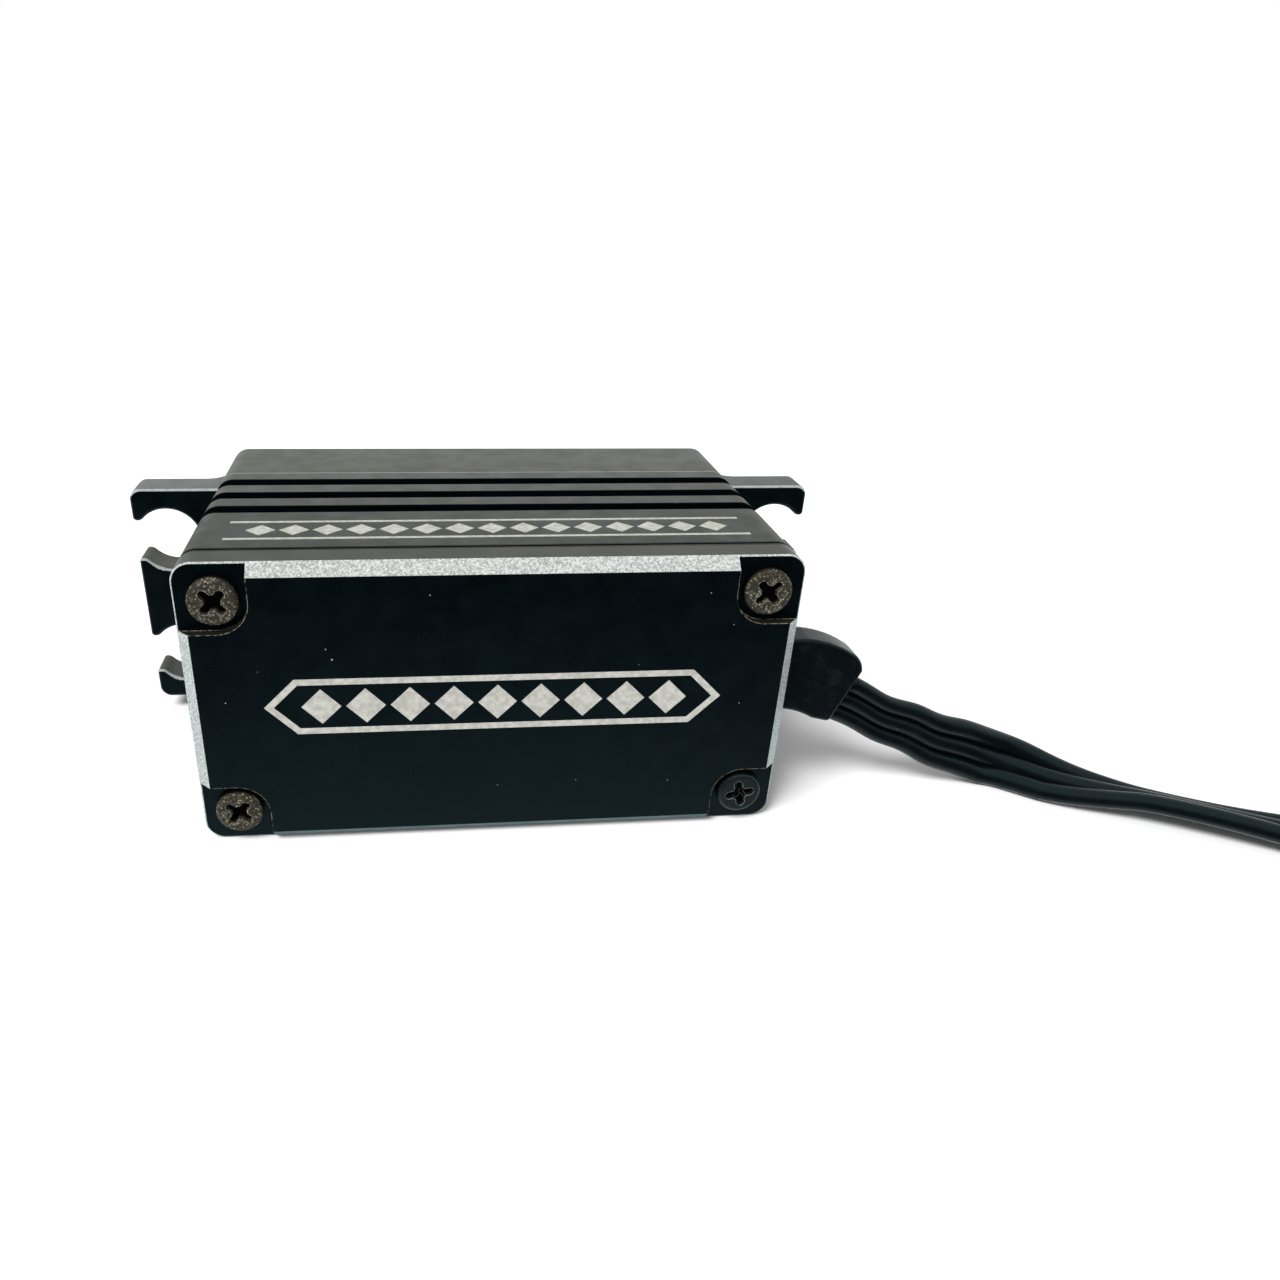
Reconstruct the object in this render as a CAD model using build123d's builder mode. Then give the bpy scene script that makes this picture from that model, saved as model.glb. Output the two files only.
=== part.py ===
from build123d import *
import math
import os

# Low-profile metal-cased hobby servo, lying on one long side.
# Row frame: X along the case, +Y along the output shaft, +Z up.
# The origin is on the floor, below the middle of the box.
# Depths are measured from the outer face of the bottom cover towards the shaft.

os.makedirs("parts", exist_ok=True)

# ---- driving dimensions, millimetres ----

# case: a bottom cover, a middle case and a top case, with a thin seal at each joint
CASE_LENGTH = 40.5
CASE_THICKNESS = 20.7
CASE_DEPTH = 26.9
CORNER_RADIUS = 1.35
SHAFT_END = 31.4
HALF_LENGTH = CASE_LENGTH / 2
HALF_THICKNESS = CASE_THICKNESS / 2
COVER_DEPTH = 2.8
COVER_CHAMFER = 0.8
COVER_POCKET_DEPTH = 1.5
SEAL_THICKNESS = 0.2
SEAL_WIDTH = 0.9
BOTTOM_SEAL_INSET = 0.3
TOP_SEAL_INSET = 0.5
TOP_SEAL_WIDTH = 0.5
MIDDLE_START = COVER_DEPTH + SEAL_THICKNESS
PARTING_DEPTH = 19.4
TOP_SEAL_START = PARTING_DEPTH - SEAL_THICKNESS
SHELL_GAP = 0.02

# cooling grooves in the long sides
GROOVE_STARTS = (10.0, 13.15, 16.35)
GROOVE_WIDTH = 1.5
GROOVE_DEEP = 1.0

# hollows for the motor and board, and for the gears, with a wall between them
BAY_LENGTH = 37.3
BAY_THICKNESS = 16.7
BAY_RADIUS = 0.8
FLOOR_START = 17.4
FLOOR_END = 18.9
GEAR_BAY_LENGTH = 38.2
GEAR_BAY_THICKNESS = 18.3
GEAR_BAY_CEILING = 25.5

# boss round the output shaft
BOSS_RADIUS = 6.5
BOSS_END = 27.9
BOSS_CHAMFER = 0.35
TOP_EDGE_ROUND = 0.4

# mounting ears with open notches
EAR_TIP = 27.2
EAR_INNER = HALF_LENGTH - 3.0
EAR_END = 22.1
EAR_WIDTH = 18.3
EAR_CORNER = 0.9
EAR_EDGE_ROUND = 0.25
EAR_ROOT_RADIUS = 1.5
EAR_ROOT_SUNK = 0.5     # how far that round's block reaches into the ear and the wall
NOTCH_X = 24.65
NOTCH_SPACING = 10.0
NOTCH_RADIUS = 2.5
THROAT_HALF = 1.55
THROAT_ROUND = 0.3
LIP_ROUND = 0.6
LIP_X = NOTCH_X + math.sqrt(NOTCH_RADIUS**2 - THROAT_HALF**2)

# case screws in the four corners, each head in a recess of the cover
SCREW_X = 17.75
SCREW_Z = 7.9
COLUMN_RADIUS = 2.1
SCREW_RADIUS = 1.0
SCREW_CLEARANCE = 0.15
SCREW_HEAD_RADIUS = 1.6
SCREW_HEAD_START = 0.06
SCREW_HEAD_ROUND = 0.3
SCREW_END = 25.2
CROSS_LENGTH = 2.1
CROSS_WIDTH = 0.6
CROSS_MIDDLE = 0.55
CROSS_DEPTH = 0.9
CROSS_TAPER = 10
SCREW_TURNS = (45, 40, 48, -12)
RECESS_DEPTH = 0.7
RECESS_RADIUS = 2.15
RECESS_REACH = 6.0
THREAD_GAP = 0.02
CORNERS = [(x, y) for x in (-SCREW_X, SCREW_X) for y in (-SCREW_Z, SCREW_Z)]
SEAL_EYE_RADIUS = 1.8

# gear train: teeth and modules of the four stages
RUNNING = 0.03          # radial clearance of a turning fit
OUTPUT_X = 10.1
MODULE_1, PINION_1, WHEEL_1 = 0.25, 10, 44
MODULE_2, PINION_2, WHEEL_2 = 0.3, 10, 36
MODULE_4, PINION_4, WHEEL_4 = 0.4, 12, 42
PINION_3, WHEEL_3 = 10, 30
CENTRES_1 = MODULE_1 * (PINION_1 + WHEEL_1) / 2
CENTRES_2 = MODULE_2 * (PINION_2 + WHEEL_2) / 2
CENTRES_4 = MODULE_4 * (PINION_4 + WHEEL_4) / 2
MODULE_3 = 2 * CENTRES_2 / (PINION_3 + WHEEL_3)   # gears two and three share the same two pins
PRESSURE = math.radians(25)
BACKLASH = 0.04         # taken off each tooth at its pitch circle
ADDENDUM = 0.9
DEDENDUM = 1.15

# places of the axes: x, and height above the middle of the case
PIN_A_UP = -0.8
PIN_B_UP = 3.2
PIN_A_X = OUTPUT_X - math.sqrt(CENTRES_4**2 - PIN_A_UP**2)
PIN_B_X = PIN_A_X - math.sqrt(CENTRES_2**2 - (PIN_B_UP - PIN_A_UP)**2)
MOTOR_X = PIN_A_X - math.sqrt(CENTRES_1**2 - PIN_A_UP**2)
PIN_A_RADIUS = 0.75
PIN_B_RADIUS = 0.6
PIN_START = 17.7
PIN_END = 26.3

# depths at which each gear's steps begin and end
PINION_START, PINION_END = 19.1, 20.4
FIRST_GEAR_STEPS = (19.1, 20.3, 21.8)
SECOND_GEAR_STEPS = (19.0, 20.5, 21.7, 23.3, 25.3)
THIRD_GEAR_STEPS = (21.95, 23.15, 25.1, 25.4)
OUTPUT_WHEEL_STEPS = (23.4, 25.0)
SECOND_FOOT_RADIUS = 1.0
SECOND_TOP_RADIUS = 1.2
THIRD_TOP_RADIUS = 1.4
OUTPUT_HUB_RADIUS = 3.4
OUTPUT_HUB_START = 19.2
OUTPUT_FOOT_START = 17.1

# output shaft, its spline and its two ball bearings
SHAFT_RADIUS = 3.0
SPLINE_TEETH = 25
SPLINE_TIP_RADIUS = 2.98
SPLINE_ROOT_RADIUS = 2.72
SPLINE_START = 28.1
HORN_THREAD_RADIUS = 1.25
HORN_THREAD_DEPTH = 8.0
LOWER_BEARING_OUTER, LOWER_BEARING_INNER = 4.0, 2.5
LOWER_BEARING_START, LOWER_BEARING_END = 17.0, 19.0
LOWER_BEARING_BOSS = 5.2
UPPER_BEARING_OUTER, UPPER_BEARING_INNER = 5.0, 3.0
UPPER_BEARING_START, UPPER_BEARING_END = 25.2, 27.2
BEARING_LEDGE = 0.6
BALLS = 9
BALL_SHARE = 0.27       # a ball's radius as a part of the bearing's section
LAND_SHARE = 0.62       # half the gap between the rings as a part of a ball's radius
OUTPUT_SEAL_OUTER = 3.7
OUTPUT_SEAL_END = 27.8

# coreless motor: a can over a fixed magnet, with the winding turning between them
MOTOR_RADIUS = 8.0
MOTOR_WALL = 0.5
MOTOR_START = 6.2
MOTOR_CAN_START = 7.2
MOTOR_CAP_INNER = 6.5
MOTOR_FACE_START = 16.4
PILOT_RADIUS = 2.2
PILOT_END = 18.5
CAP_THICKNESS = 0.5
SHAFT_BUSH_RADIUS = 1.5
SHAFT_START = 5.9
MOTOR_SHAFT_RADIUS = 0.75
MAGNET_RADIUS = 5.6
MAGNET_BORE = 1.3
MAGNET_START = 8.6
WINDING_INNER, WINDING_OUTER = 6.05, 6.95
WINDING_START, WINDING_END = 8.0, 15.9
CARRIER_START = 7.6
COMMUTATOR_RADIUS = 1.4
COMMUTATOR_START = 6.75
TERMINAL_SPREAD = MOTOR_RADIUS - 2.5
TERMINALS = [(MOTOR_X - TERMINAL_SPREAD, 0), (MOTOR_X + TERMINAL_SPREAD, 0)]
TERMINAL_SIZE = (0.5, 1.6)
TERMINAL_END = COMMUTATOR_START + 0.5
BLADE_START = 6.9
BLADE_THICKNESS = 0.35
BLADE_HEIGHT = 0.8
MOTOR_SCREW_ANGLES = (135, 315)
MOTOR_SCREW_PITCH = 5.0
MOTOR_SCREW_RADIUS = 0.8
MOTOR_SCREW_CLEARANCE = 0.1
MOTOR_HEAD_RADIUS = 1.4
MOTOR_HEAD_START = 18.2
MOTOR_CROSS = (1.5, 0.4)
MOTOR_CROSS_DEPTH = 0.4

# control board and position sensor
BOARD_START = 3.7
BOARD_END = 4.5
BOARD_LENGTH, BOARD_HEIGHT = 36.8, 16.2
BOARD_NOTCH = COLUMN_RADIUS + 0.2
BOARD_CORNER = 0.5
BOARD_CUT = 2 * BOARD_NOTCH - 0.6
BOARD_CUT_SHIFT = 1.5
PAD_LENGTH, PAD_HEIGHT = 13.0, 10.0
PAD_X = -2.0
TRANSISTOR_THICKNESS = 1.0
TRANSISTORS = [(x, y) for x in (-6.0, 2.0) for y in (-2.6, 2.6)]
POT_RADIUS = 5.5
POT_WALL = 0.6
POT_START = 12.2
POT_END = 16.4
POT_SHAFT_RADIUS = 1.5
POT_SHAFT_END = 20.4
SENSOR_BORE_END = 20.6
WIPER_START, WIPER_END = 14.6, 15.2
TRACK_START, TRACK_END = 12.9, 13.4
TRACK_INNER = 2.4
TRACK_GAP = 0.1
WIPER_RADIUS = 4.1
CONTACT_PLACE = OUTPUT_X + 3.5
CONTACT_SIZE = (0.6, 1.2)
SENSOR_LEAD_RADIUS = 0.3
POT_PINS = [(OUTPUT_X + offset, 3.6) for offset in (-2.0, 0.0, 2.0)]

# strain relief boot in the end wall, and the place where the lead leaves it
BOOT_SLOT_UP = 0.1
BOOT_SLOT_HEIGHT = 5.0
BOOT_SLOT_END = 5.6
BOOT_SLOT_LENGTH = CASE_LENGTH - BAY_LENGTH + 0.4
BOOT_START, BOOT_END = 3.0, 6.0
BOOT_MIDDLE = (BOOT_START + BOOT_END) / 2
BOOT_TOP, BOOT_BOTTOM = 13.3, 7.7
BOOT_RIDGE = [(22.4, BOOT_TOP), (24.3, 12.85), (25.9, 12.05)]
BOOT_SHOULDER = (26.6, 11.4)
BOOT_TIP = (26.85, 10.6)
BOOT_HEEL = (25.0, 6.45)
BOOT_BELLY = [(23.6, 6.8), (22.0, 7.5), (HALF_LENGTH, BOOT_BOTTOM)]
BOOT_HEEL_ROUND = 0.4
BOOT_FRONT_ROUND = 0.3
BOOT_BACK_ROUND = 0.9
FLANGE_X = BAY_LENGTH / 2 - 0.4
FLANGE_THICKNESS = 0.8
FLANGE_HEIGHT = 6.6
FLANGE_START, FLANGE_END = BOARD_END + 0.1, 6.4
EXIT = (25.73, BOOT_MIDDLE, 8.0)
WIRE_RADIUS = 0.45
WIRE_END_LENGTH = 2.4

# lead of three wires side by side: x, depth and height of the points of its route
WIRE_PITCH = 1.35
LEAD_DIAMETER = 3 * WIRE_PITCH
LEAD_FLOOR = LEAD_DIAMETER / 2 + 0.055
LEAD_ROUTE = [
    EXIT,
    (29.7, 4.5, 6.35),
    (34.3, 4.3, 4.1),
    (38.8, 3.8, 2.65),
    (43.6, 2.2, 2.15),
    (49.6, -0.7, LEAD_FLOOR),
    (56.8, -4.7, LEAD_FLOOR),
    (64.1, -9.3, LEAD_FLOOR),
    (70.2, -14.5, LEAD_FLOOR),
]

# coil of the rest of the lead, tied, and the curl inside it that ends in the plug
COIL_X, COIL_DEPTH = 91.0, -4.0
COIL_OUTER, COIL_INNER = 23.2, 18.2
COIL_MIDDLE = (COIL_OUTER + COIL_INNER) / 2
COIL_HEIGHT = 4.1
COIL_ROUND = 1.2
TIE_ANGLE = -35
TIE_WIDTH = 3.2
TIE_LENGTH = COIL_OUTER - COIL_INNER + 1.4
TIE_ROUND = 0.4
TIE_OPENING = COIL_OUTER - COIL_INNER + 0.4
TIE_START, TIE_END = 0.4, COIL_HEIGHT + 0.1
TIE_HEIGHT = COIL_HEIGHT + 0.6
PLUG_LENGTH, PLUG_WIDTH, PLUG_HEIGHT = 14.0, 7.8, 2.6
PLUG_CHAMFER = 0.25
PIN_PITCH = 2.54
SOCKET_SIZE, SOCKET_DEPTH = 0.9, 8.0
CONTACT_OUTER, CONTACT_INNER = 0.86, 0.64
CONTACT_START, CONTACT_LENGTH = 1.0, 6.0
PLUG_ANGLE = 150
PLUG_DISTANCE = 9.5
CURL_RADIUS = 13.55
CURL_STEP = 36
CURL_HALF_RUN = CURL_RADIUS * math.tan(math.radians(CURL_STEP / 2))

# sketches of the servo lie on this plane: x along the case, y down, and depth along its normal
FRONT_Y = -SHAFT_END / 2
SERVO = Plane(origin=(0, FRONT_Y, HALF_THICKNESS), x_dir=(1, 0, 0), z_dir=(0, 1, 0))


def point(x, depth, height):
    """A place given by x, depth behind the cover's face and height above the floor."""
    return (x, FRONT_Y + depth, height)


def save(built, name):
    built.part.label = name
    export_step(built.part, f"parts/{name}.step")


def ring_solid(x, up, outer, inner, start, end):
    """A plain tube about an axis parallel to the output shaft; inner may be 0."""
    with BuildPart() as tube:
        with BuildSketch(SERVO.offset(start)):
            with Locations((x, -up)):
                Circle(outer)
                if inner:
                    Circle(inner, mode=Mode.SUBTRACT)
        extrude(amount=end - start)
    return tube


# ---- gears ----

def involute_angle(pressure):
    return math.tan(pressure) - pressure


def tooth_flank(base, start_radius, tip_radius, half_angle, centre_angle, side):
    """Points up one flank of a tooth, root to tip, as an involute of the base circle."""
    points = []
    steps = 5
    for i in range(steps):
        radius = start_radius + (tip_radius - start_radius) * i / (steps - 1)
        roll = involute_angle(math.acos(min(1.0, base / radius)))
        angle = centre_angle + side * (half_angle - roll)
        points.append((radius * math.cos(angle), radius * math.sin(angle)))
    return points


def gear_face(teeth, module, phase):
    """A closed toothed outline about the origin; phase is the angle of tooth 0 in degrees."""
    pitch = module * teeth / 2
    base = pitch * math.cos(PRESSURE)
    tip = pitch + ADDENDUM * module
    root = pitch - DEDENDUM * module
    start = max(base * 1.0005, root)
    half = math.pi / (2 * teeth) - BACKLASH / (2 * pitch) + involute_angle(PRESSURE)
    step = 2 * math.pi / teeth
    with BuildSketch() as outline:
        with BuildLine():
            for tooth in range(teeth):
                centre = math.radians(phase) + tooth * step
                right = tooth_flank(base, start, tip, half, centre, -1)
                left = tooth_flank(base, start, tip, half, centre, 1)
                following = tooth_flank(base, start, tip, half, centre + step, -1)
                Spline(*right)
                ThreePointArc(right[-1], (tip * math.cos(centre), tip * math.sin(centre)), left[-1])
                Spline(*left)
                gap = centre + step / 2
                ThreePointArc(left[0], (root * math.cos(gap), root * math.sin(gap)), following[0])
        make_face()
    return outline.sketch


def meshed_phase(from_x, from_up, to_x, to_up, driver_teeth, driver_phase, teeth):
    """The phase at which a gear has a gap where its driver has a tooth."""
    direction = math.degrees(math.atan2(-(to_up - from_up), to_x - from_x))
    return direction + 180 - 180 / teeth - (driver_phase - direction) * driver_teeth / teeth


def axis_plane(x, up, depth):
    return Plane(origin=point(x, depth, HALF_THICKNESS + up), x_dir=(1, 0, 0), z_dir=(0, 1, 0))


def gear_blank(x, up, layers, bore, bore_start, bore_end):
    """A gear in one piece; layers are (teeth, module, phase, start, end) or (0, radius, 0, start, end)."""
    with BuildPart() as gear:
        for teeth, size, phase, start, end in layers:
            with BuildSketch(axis_plane(x, up, start)):
                if teeth:
                    add(gear_face(teeth, size, phase))
                else:
                    Circle(size)
            extrude(amount=end - start)
        with BuildSketch(axis_plane(x, up, bore_start)):
            Circle(bore)
        extrude(amount=bore_end - bore_start, mode=Mode.SUBTRACT)
    return gear


# ---- case ----

def case_outline(inset=0.0):
    RectangleRounded(CASE_LENGTH - 2 * inset, CASE_THICKNESS - 2 * inset, CORNER_RADIUS - inset * 0.5)


def bay_outline(length, thickness):
    """The hollow inside a shell, with a round column left at each corner screw."""
    RectangleRounded(length, thickness, BAY_RADIUS)
    with Locations(*CORNERS):
        Circle(COLUMN_RADIUS, mode=Mode.SUBTRACT)


def build_bottom_cover():
    with BuildPart() as bottom_cover:
        with BuildSketch(SERVO):
            case_outline()
        extrude(amount=COVER_DEPTH)
        front_edges = bottom_cover.edges().group_by(Axis.Y)[0]
        chamfer(front_edges, COVER_CHAMFER)
        with BuildSketch(SERVO.offset(COVER_POCKET_DEPTH)):
            bay_outline(BAY_LENGTH, BAY_THICKNESS)
        extrude(amount=COVER_DEPTH - COVER_POCKET_DEPTH, mode=Mode.SUBTRACT)
        # corner recesses, round on the inside and open to both edges
        outward = RECESS_REACH / 2
        across = RECESS_REACH / 2 - RECESS_RADIUS
        for x, y in CORNERS:
            with BuildSketch(SERVO):
                with Locations((x, y)):
                    Circle(RECESS_RADIUS)
                with Locations((x + math.copysign(outward, x), y + math.copysign(across, y))):
                    Rectangle(RECESS_REACH, RECESS_REACH)
                with Locations((x + math.copysign(across, x), y + math.copysign(outward, y))):
                    Rectangle(RECESS_REACH, RECESS_REACH)
            extrude(amount=RECESS_DEPTH, mode=Mode.SUBTRACT)
        with BuildSketch(SERVO):
            with Locations(*CORNERS):
                Circle(SCREW_RADIUS + SCREW_CLEARANCE)
        extrude(amount=COVER_DEPTH, mode=Mode.SUBTRACT)
    save(bottom_cover, "bottom_cover")


def seal_outline(inset, width):
    """The path of a flat seal that follows the joint between two shells."""
    case_outline(inset)
    RectangleRounded(
        CASE_LENGTH - 2 * (inset + width),
        CASE_THICKNESS - 2 * (inset + width),
        BAY_RADIUS,
        mode=Mode.SUBTRACT,
    )


def build_bottom_seal():
    with BuildPart() as bottom_seal:
        with BuildSketch(SERVO.offset(COVER_DEPTH)):
            seal_outline(BOTTOM_SEAL_INSET, SEAL_WIDTH)
            with Locations(*CORNERS):
                Circle(SEAL_EYE_RADIUS)
                Circle(SCREW_RADIUS + SCREW_CLEARANCE, mode=Mode.SUBTRACT)
        extrude(amount=SEAL_THICKNESS)
    save(bottom_seal, "bottom_seal")


def build_middle_case():
    with BuildPart() as middle_case:
        with BuildSketch(SERVO.offset(MIDDLE_START)):
            case_outline()
        extrude(amount=PARTING_DEPTH - MIDDLE_START)
        # cooling grooves along both long sides
        for start in GROOVE_STARTS:
            with BuildSketch(SERVO.offset(start)):
                for side in (-1, 1):
                    with Locations((0, side * HALF_THICKNESS)):
                        Rectangle(CASE_LENGTH + GROOVE_DEEP, 2 * GROOVE_DEEP)
            extrude(amount=GROOVE_WIDTH, mode=Mode.SUBTRACT)
        with BuildSketch(SERVO.offset(MIDDLE_START)):
            bay_outline(BAY_LENGTH, BAY_THICKNESS)
        extrude(amount=FLOOR_START - MIDDLE_START, mode=Mode.SUBTRACT)
        with BuildSketch(SERVO.offset(FLOOR_END)):
            bay_outline(GEAR_BAY_LENGTH, GEAR_BAY_THICKNESS)
        extrude(amount=PARTING_DEPTH - FLOOR_END, mode=Mode.SUBTRACT)
        # boss that holds the lower output bearing
        with BuildSketch(SERVO.offset(POT_END)):
            with Locations((OUTPUT_X, 0)):
                Circle(LOWER_BEARING_BOSS)
        extrude(amount=FLOOR_END - POT_END)
        with BuildSketch(SERVO.offset(LOWER_BEARING_START)):
            with Locations((OUTPUT_X, 0)):
                Circle(LOWER_BEARING_OUTER)
        extrude(amount=PARTING_DEPTH - LOWER_BEARING_START, mode=Mode.SUBTRACT)
        with BuildSketch(SERVO.offset(POT_END)):
            with Locations((OUTPUT_X, 0)):
                Circle(LOWER_BEARING_OUTER - BEARING_LEDGE)
        extrude(amount=LOWER_BEARING_START - POT_END, mode=Mode.SUBTRACT)
        # pilot hole and two countersunk holes for the motor, and blind holes for the two gear pins
        with BuildSketch(SERVO.offset(FLOOR_START)):
            with Locations((MOTOR_X, 0)):
                Circle(PILOT_RADIUS + SHELL_GAP)
                with PolarLocations(MOTOR_SCREW_PITCH, 2, start_angle=-MOTOR_SCREW_ANGLES[0]):
                    Circle(MOTOR_SCREW_RADIUS + MOTOR_SCREW_CLEARANCE)
        extrude(amount=FLOOR_END - FLOOR_START, mode=Mode.SUBTRACT)
        with BuildSketch(SERVO.offset(MOTOR_HEAD_START)):
            with Locations((MOTOR_X, 0)):
                with PolarLocations(MOTOR_SCREW_PITCH, 2, start_angle=-MOTOR_SCREW_ANGLES[0]):
                    Circle(MOTOR_HEAD_RADIUS + MOTOR_SCREW_CLEARANCE)
        extrude(amount=FLOOR_END - MOTOR_HEAD_START, mode=Mode.SUBTRACT)
        with BuildSketch(SERVO.offset(PIN_START)):
            with Locations((PIN_A_X, -PIN_A_UP)):
                Circle(PIN_A_RADIUS)
            with Locations((PIN_B_X, -PIN_B_UP)):
                Circle(PIN_B_RADIUS)
        extrude(amount=FLOOR_END - PIN_START, mode=Mode.SUBTRACT)
        # rebate for the upper seal
        with BuildSketch(SERVO.offset(TOP_SEAL_START)):
            seal_outline(TOP_SEAL_INSET, TOP_SEAL_WIDTH)
        extrude(amount=SEAL_THICKNESS, mode=Mode.SUBTRACT)
        # slot in the end wall for the lead's boot, open towards the cover
        with BuildSketch(SERVO.offset(MIDDLE_START)):
            with Locations((HALF_LENGTH, -BOOT_SLOT_UP)):
                Rectangle(BOOT_SLOT_LENGTH, BOOT_SLOT_HEIGHT)
        extrude(amount=BOOT_SLOT_END - MIDDLE_START, mode=Mode.SUBTRACT)
        with BuildSketch(SERVO.offset(MIDDLE_START)):
            with Locations(*CORNERS):
                Circle(SCREW_RADIUS + SCREW_CLEARANCE)
        extrude(amount=PARTING_DEPTH - MIDDLE_START, mode=Mode.SUBTRACT)
    save(middle_case, "middle_case")


def build_top_seal():
    with BuildPart() as top_seal:
        with BuildSketch(SERVO.offset(TOP_SEAL_START)):
            seal_outline(TOP_SEAL_INSET, TOP_SEAL_WIDTH)
        extrude(amount=SEAL_THICKNESS)
    save(top_seal, "top_seal")


def build_ear(side):
    """A mounting ear: two open round notches leave a middle lobe and two hooks, rounded at the front."""
    throat = EAR_TIP + 1 - NOTCH_X
    throat_x = side * (NOTCH_X + throat / 2)
    with BuildPart() as ear:
        with BuildSketch(SERVO.offset(PARTING_DEPTH)) as outline:
            with Locations((side * (EAR_INNER + EAR_TIP) / 2, 0)):
                RectangleRounded(EAR_TIP - EAR_INNER, EAR_WIDTH, EAR_CORNER)
            with Locations((side * NOTCH_X, NOTCH_SPACING / 2), (side * NOTCH_X, -NOTCH_SPACING / 2)):
                Circle(NOTCH_RADIUS, mode=Mode.SUBTRACT)
            with Locations((throat_x, NOTCH_SPACING / 2), (throat_x, -NOTCH_SPACING / 2)):
                Rectangle(throat, 2 * THROAT_HALF, mode=Mode.SUBTRACT)
            lips = [corner for corner in outline.vertices() if abs(abs(corner.X) - LIP_X) < 0.01]
            fillet(lips, LIP_ROUND)
            tips = [
                corner
                for corner in outline.vertices()
                if abs(abs(corner.X) - EAR_TIP) < 0.01 and abs(corner.Y) < NOTCH_SPACING / 2 + NOTCH_RADIUS
            ]
            fillet(tips, THROAT_ROUND)
        extrude(amount=EAR_END - PARTING_DEPTH)
        front_edges = ear.edges().group_by(Axis.Y)[0]
        fillet(front_edges, EAR_EDGE_ROUND)
    return ear.part


def build_top_case():
    with BuildPart() as top_case:
        with BuildSketch(SERVO.offset(PARTING_DEPTH)):
            case_outline()
        extrude(amount=CASE_DEPTH - PARTING_DEPTH)
        top_edges = top_case.edges().group_by(Axis.Y)[-1]
        fillet(top_edges, TOP_EDGE_ROUND)
        for side in (-1, 1):
            add(build_ear(side))
        # concave round where the back of each ear meets the end wall
        half_width = EAR_WIDTH / 2
        sunk = -EAR_ROOT_SUNK
        middle = EAR_ROOT_RADIUS * (1 - math.sqrt(0.5))
        for side in (-1, 1):
            foot = point(side * HALF_LENGTH, EAR_END, HALF_THICKNESS)
            root = Plane(origin=foot, x_dir=(side, 0, 0), z_dir=(0, 0, side))
            with BuildSketch(root.offset(-half_width)):
                with BuildLine():
                    Line((sunk, sunk), (EAR_ROOT_RADIUS, sunk))
                    Line((EAR_ROOT_RADIUS, sunk), (EAR_ROOT_RADIUS, 0))
                    ThreePointArc((EAR_ROOT_RADIUS, 0), (middle, middle), (0, EAR_ROOT_RADIUS))
                    Line((0, EAR_ROOT_RADIUS), (sunk, EAR_ROOT_RADIUS))
                    Line((sunk, EAR_ROOT_RADIUS), (sunk, sunk))
                make_face()
            extrude(amount=2 * half_width)
        # the notches are cut again through that round
        with BuildSketch(SERVO.offset(PARTING_DEPTH)):
            with GridLocations(2 * NOTCH_X, NOTCH_SPACING, 2, 2):
                Circle(NOTCH_RADIUS)
        extrude(amount=EAR_END - PARTING_DEPTH + EAR_ROOT_RADIUS, mode=Mode.SUBTRACT)
        # boss round the output shaft
        with BuildSketch(SERVO.offset(CASE_DEPTH)):
            with Locations((OUTPUT_X, 0)):
                Circle(BOSS_RADIUS)
        extrude(amount=BOSS_END - CASE_DEPTH)
        boss_edge = top_case.edges().group_by(Axis.Y)[-1]
        chamfer(boss_edge, BOSS_CHAMFER)
        with BuildSketch(SERVO.offset(PARTING_DEPTH)):
            bay_outline(GEAR_BAY_LENGTH, GEAR_BAY_THICKNESS)
        extrude(amount=GEAR_BAY_CEILING - PARTING_DEPTH, mode=Mode.SUBTRACT)
        with BuildSketch(SERVO.offset(PARTING_DEPTH)):
            with Locations((OUTPUT_X, 0)):
                Circle(UPPER_BEARING_OUTER)
        extrude(amount=UPPER_BEARING_END - PARTING_DEPTH, mode=Mode.SUBTRACT)
        with BuildSketch(SERVO.offset(UPPER_BEARING_END)):
            with Locations((OUTPUT_X, 0)):
                Circle(OUTPUT_SEAL_OUTER)
        extrude(amount=BOSS_END - UPPER_BEARING_END, mode=Mode.SUBTRACT)
        # blind holes for the gear pins and the case screws
        with BuildSketch(SERVO.offset(GEAR_BAY_CEILING)):
            with Locations((PIN_A_X, -PIN_A_UP)):
                Circle(PIN_A_RADIUS)
            with Locations((PIN_B_X, -PIN_B_UP)):
                Circle(PIN_B_RADIUS)
        extrude(amount=PIN_END - GEAR_BAY_CEILING, mode=Mode.SUBTRACT)
        with BuildSketch(SERVO.offset(PARTING_DEPTH)):
            with Locations(*CORNERS):
                Circle(SCREW_RADIUS + THREAD_GAP)
        extrude(amount=SCREW_END - PARTING_DEPTH, mode=Mode.SUBTRACT)
    save(top_case, "top_case")


# ---- fasteners ----

def case_screws(places, turns):
    """Dome-rimmed screws with a tapered cross recess, each turned by its own angle."""
    with BuildPart() as screws:
        with BuildSketch(SERVO.offset(SCREW_HEAD_START)):
            with Locations(*places):
                Circle(SCREW_HEAD_RADIUS)
        extrude(amount=RECESS_DEPTH - SCREW_HEAD_START)
        rim = screws.edges().group_by(Axis.Y)[0]
        fillet(rim, SCREW_HEAD_ROUND)
        with BuildSketch(SERVO.offset(RECESS_DEPTH)):
            with Locations(*places):
                Circle(SCREW_RADIUS)
        extrude(amount=SCREW_END - RECESS_DEPTH)
        for place, turn in zip(places, turns):
            with BuildSketch(SERVO.offset(SCREW_HEAD_START)):
                with Locations(place):
                    Circle(CROSS_MIDDLE)
                    SlotOverall(CROSS_LENGTH, CROSS_WIDTH, rotation=turn)
                    SlotOverall(CROSS_LENGTH, CROSS_WIDTH, rotation=turn + 90)
            extrude(amount=CROSS_DEPTH, taper=CROSS_TAPER, mode=Mode.SUBTRACT)
    return screws


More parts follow.
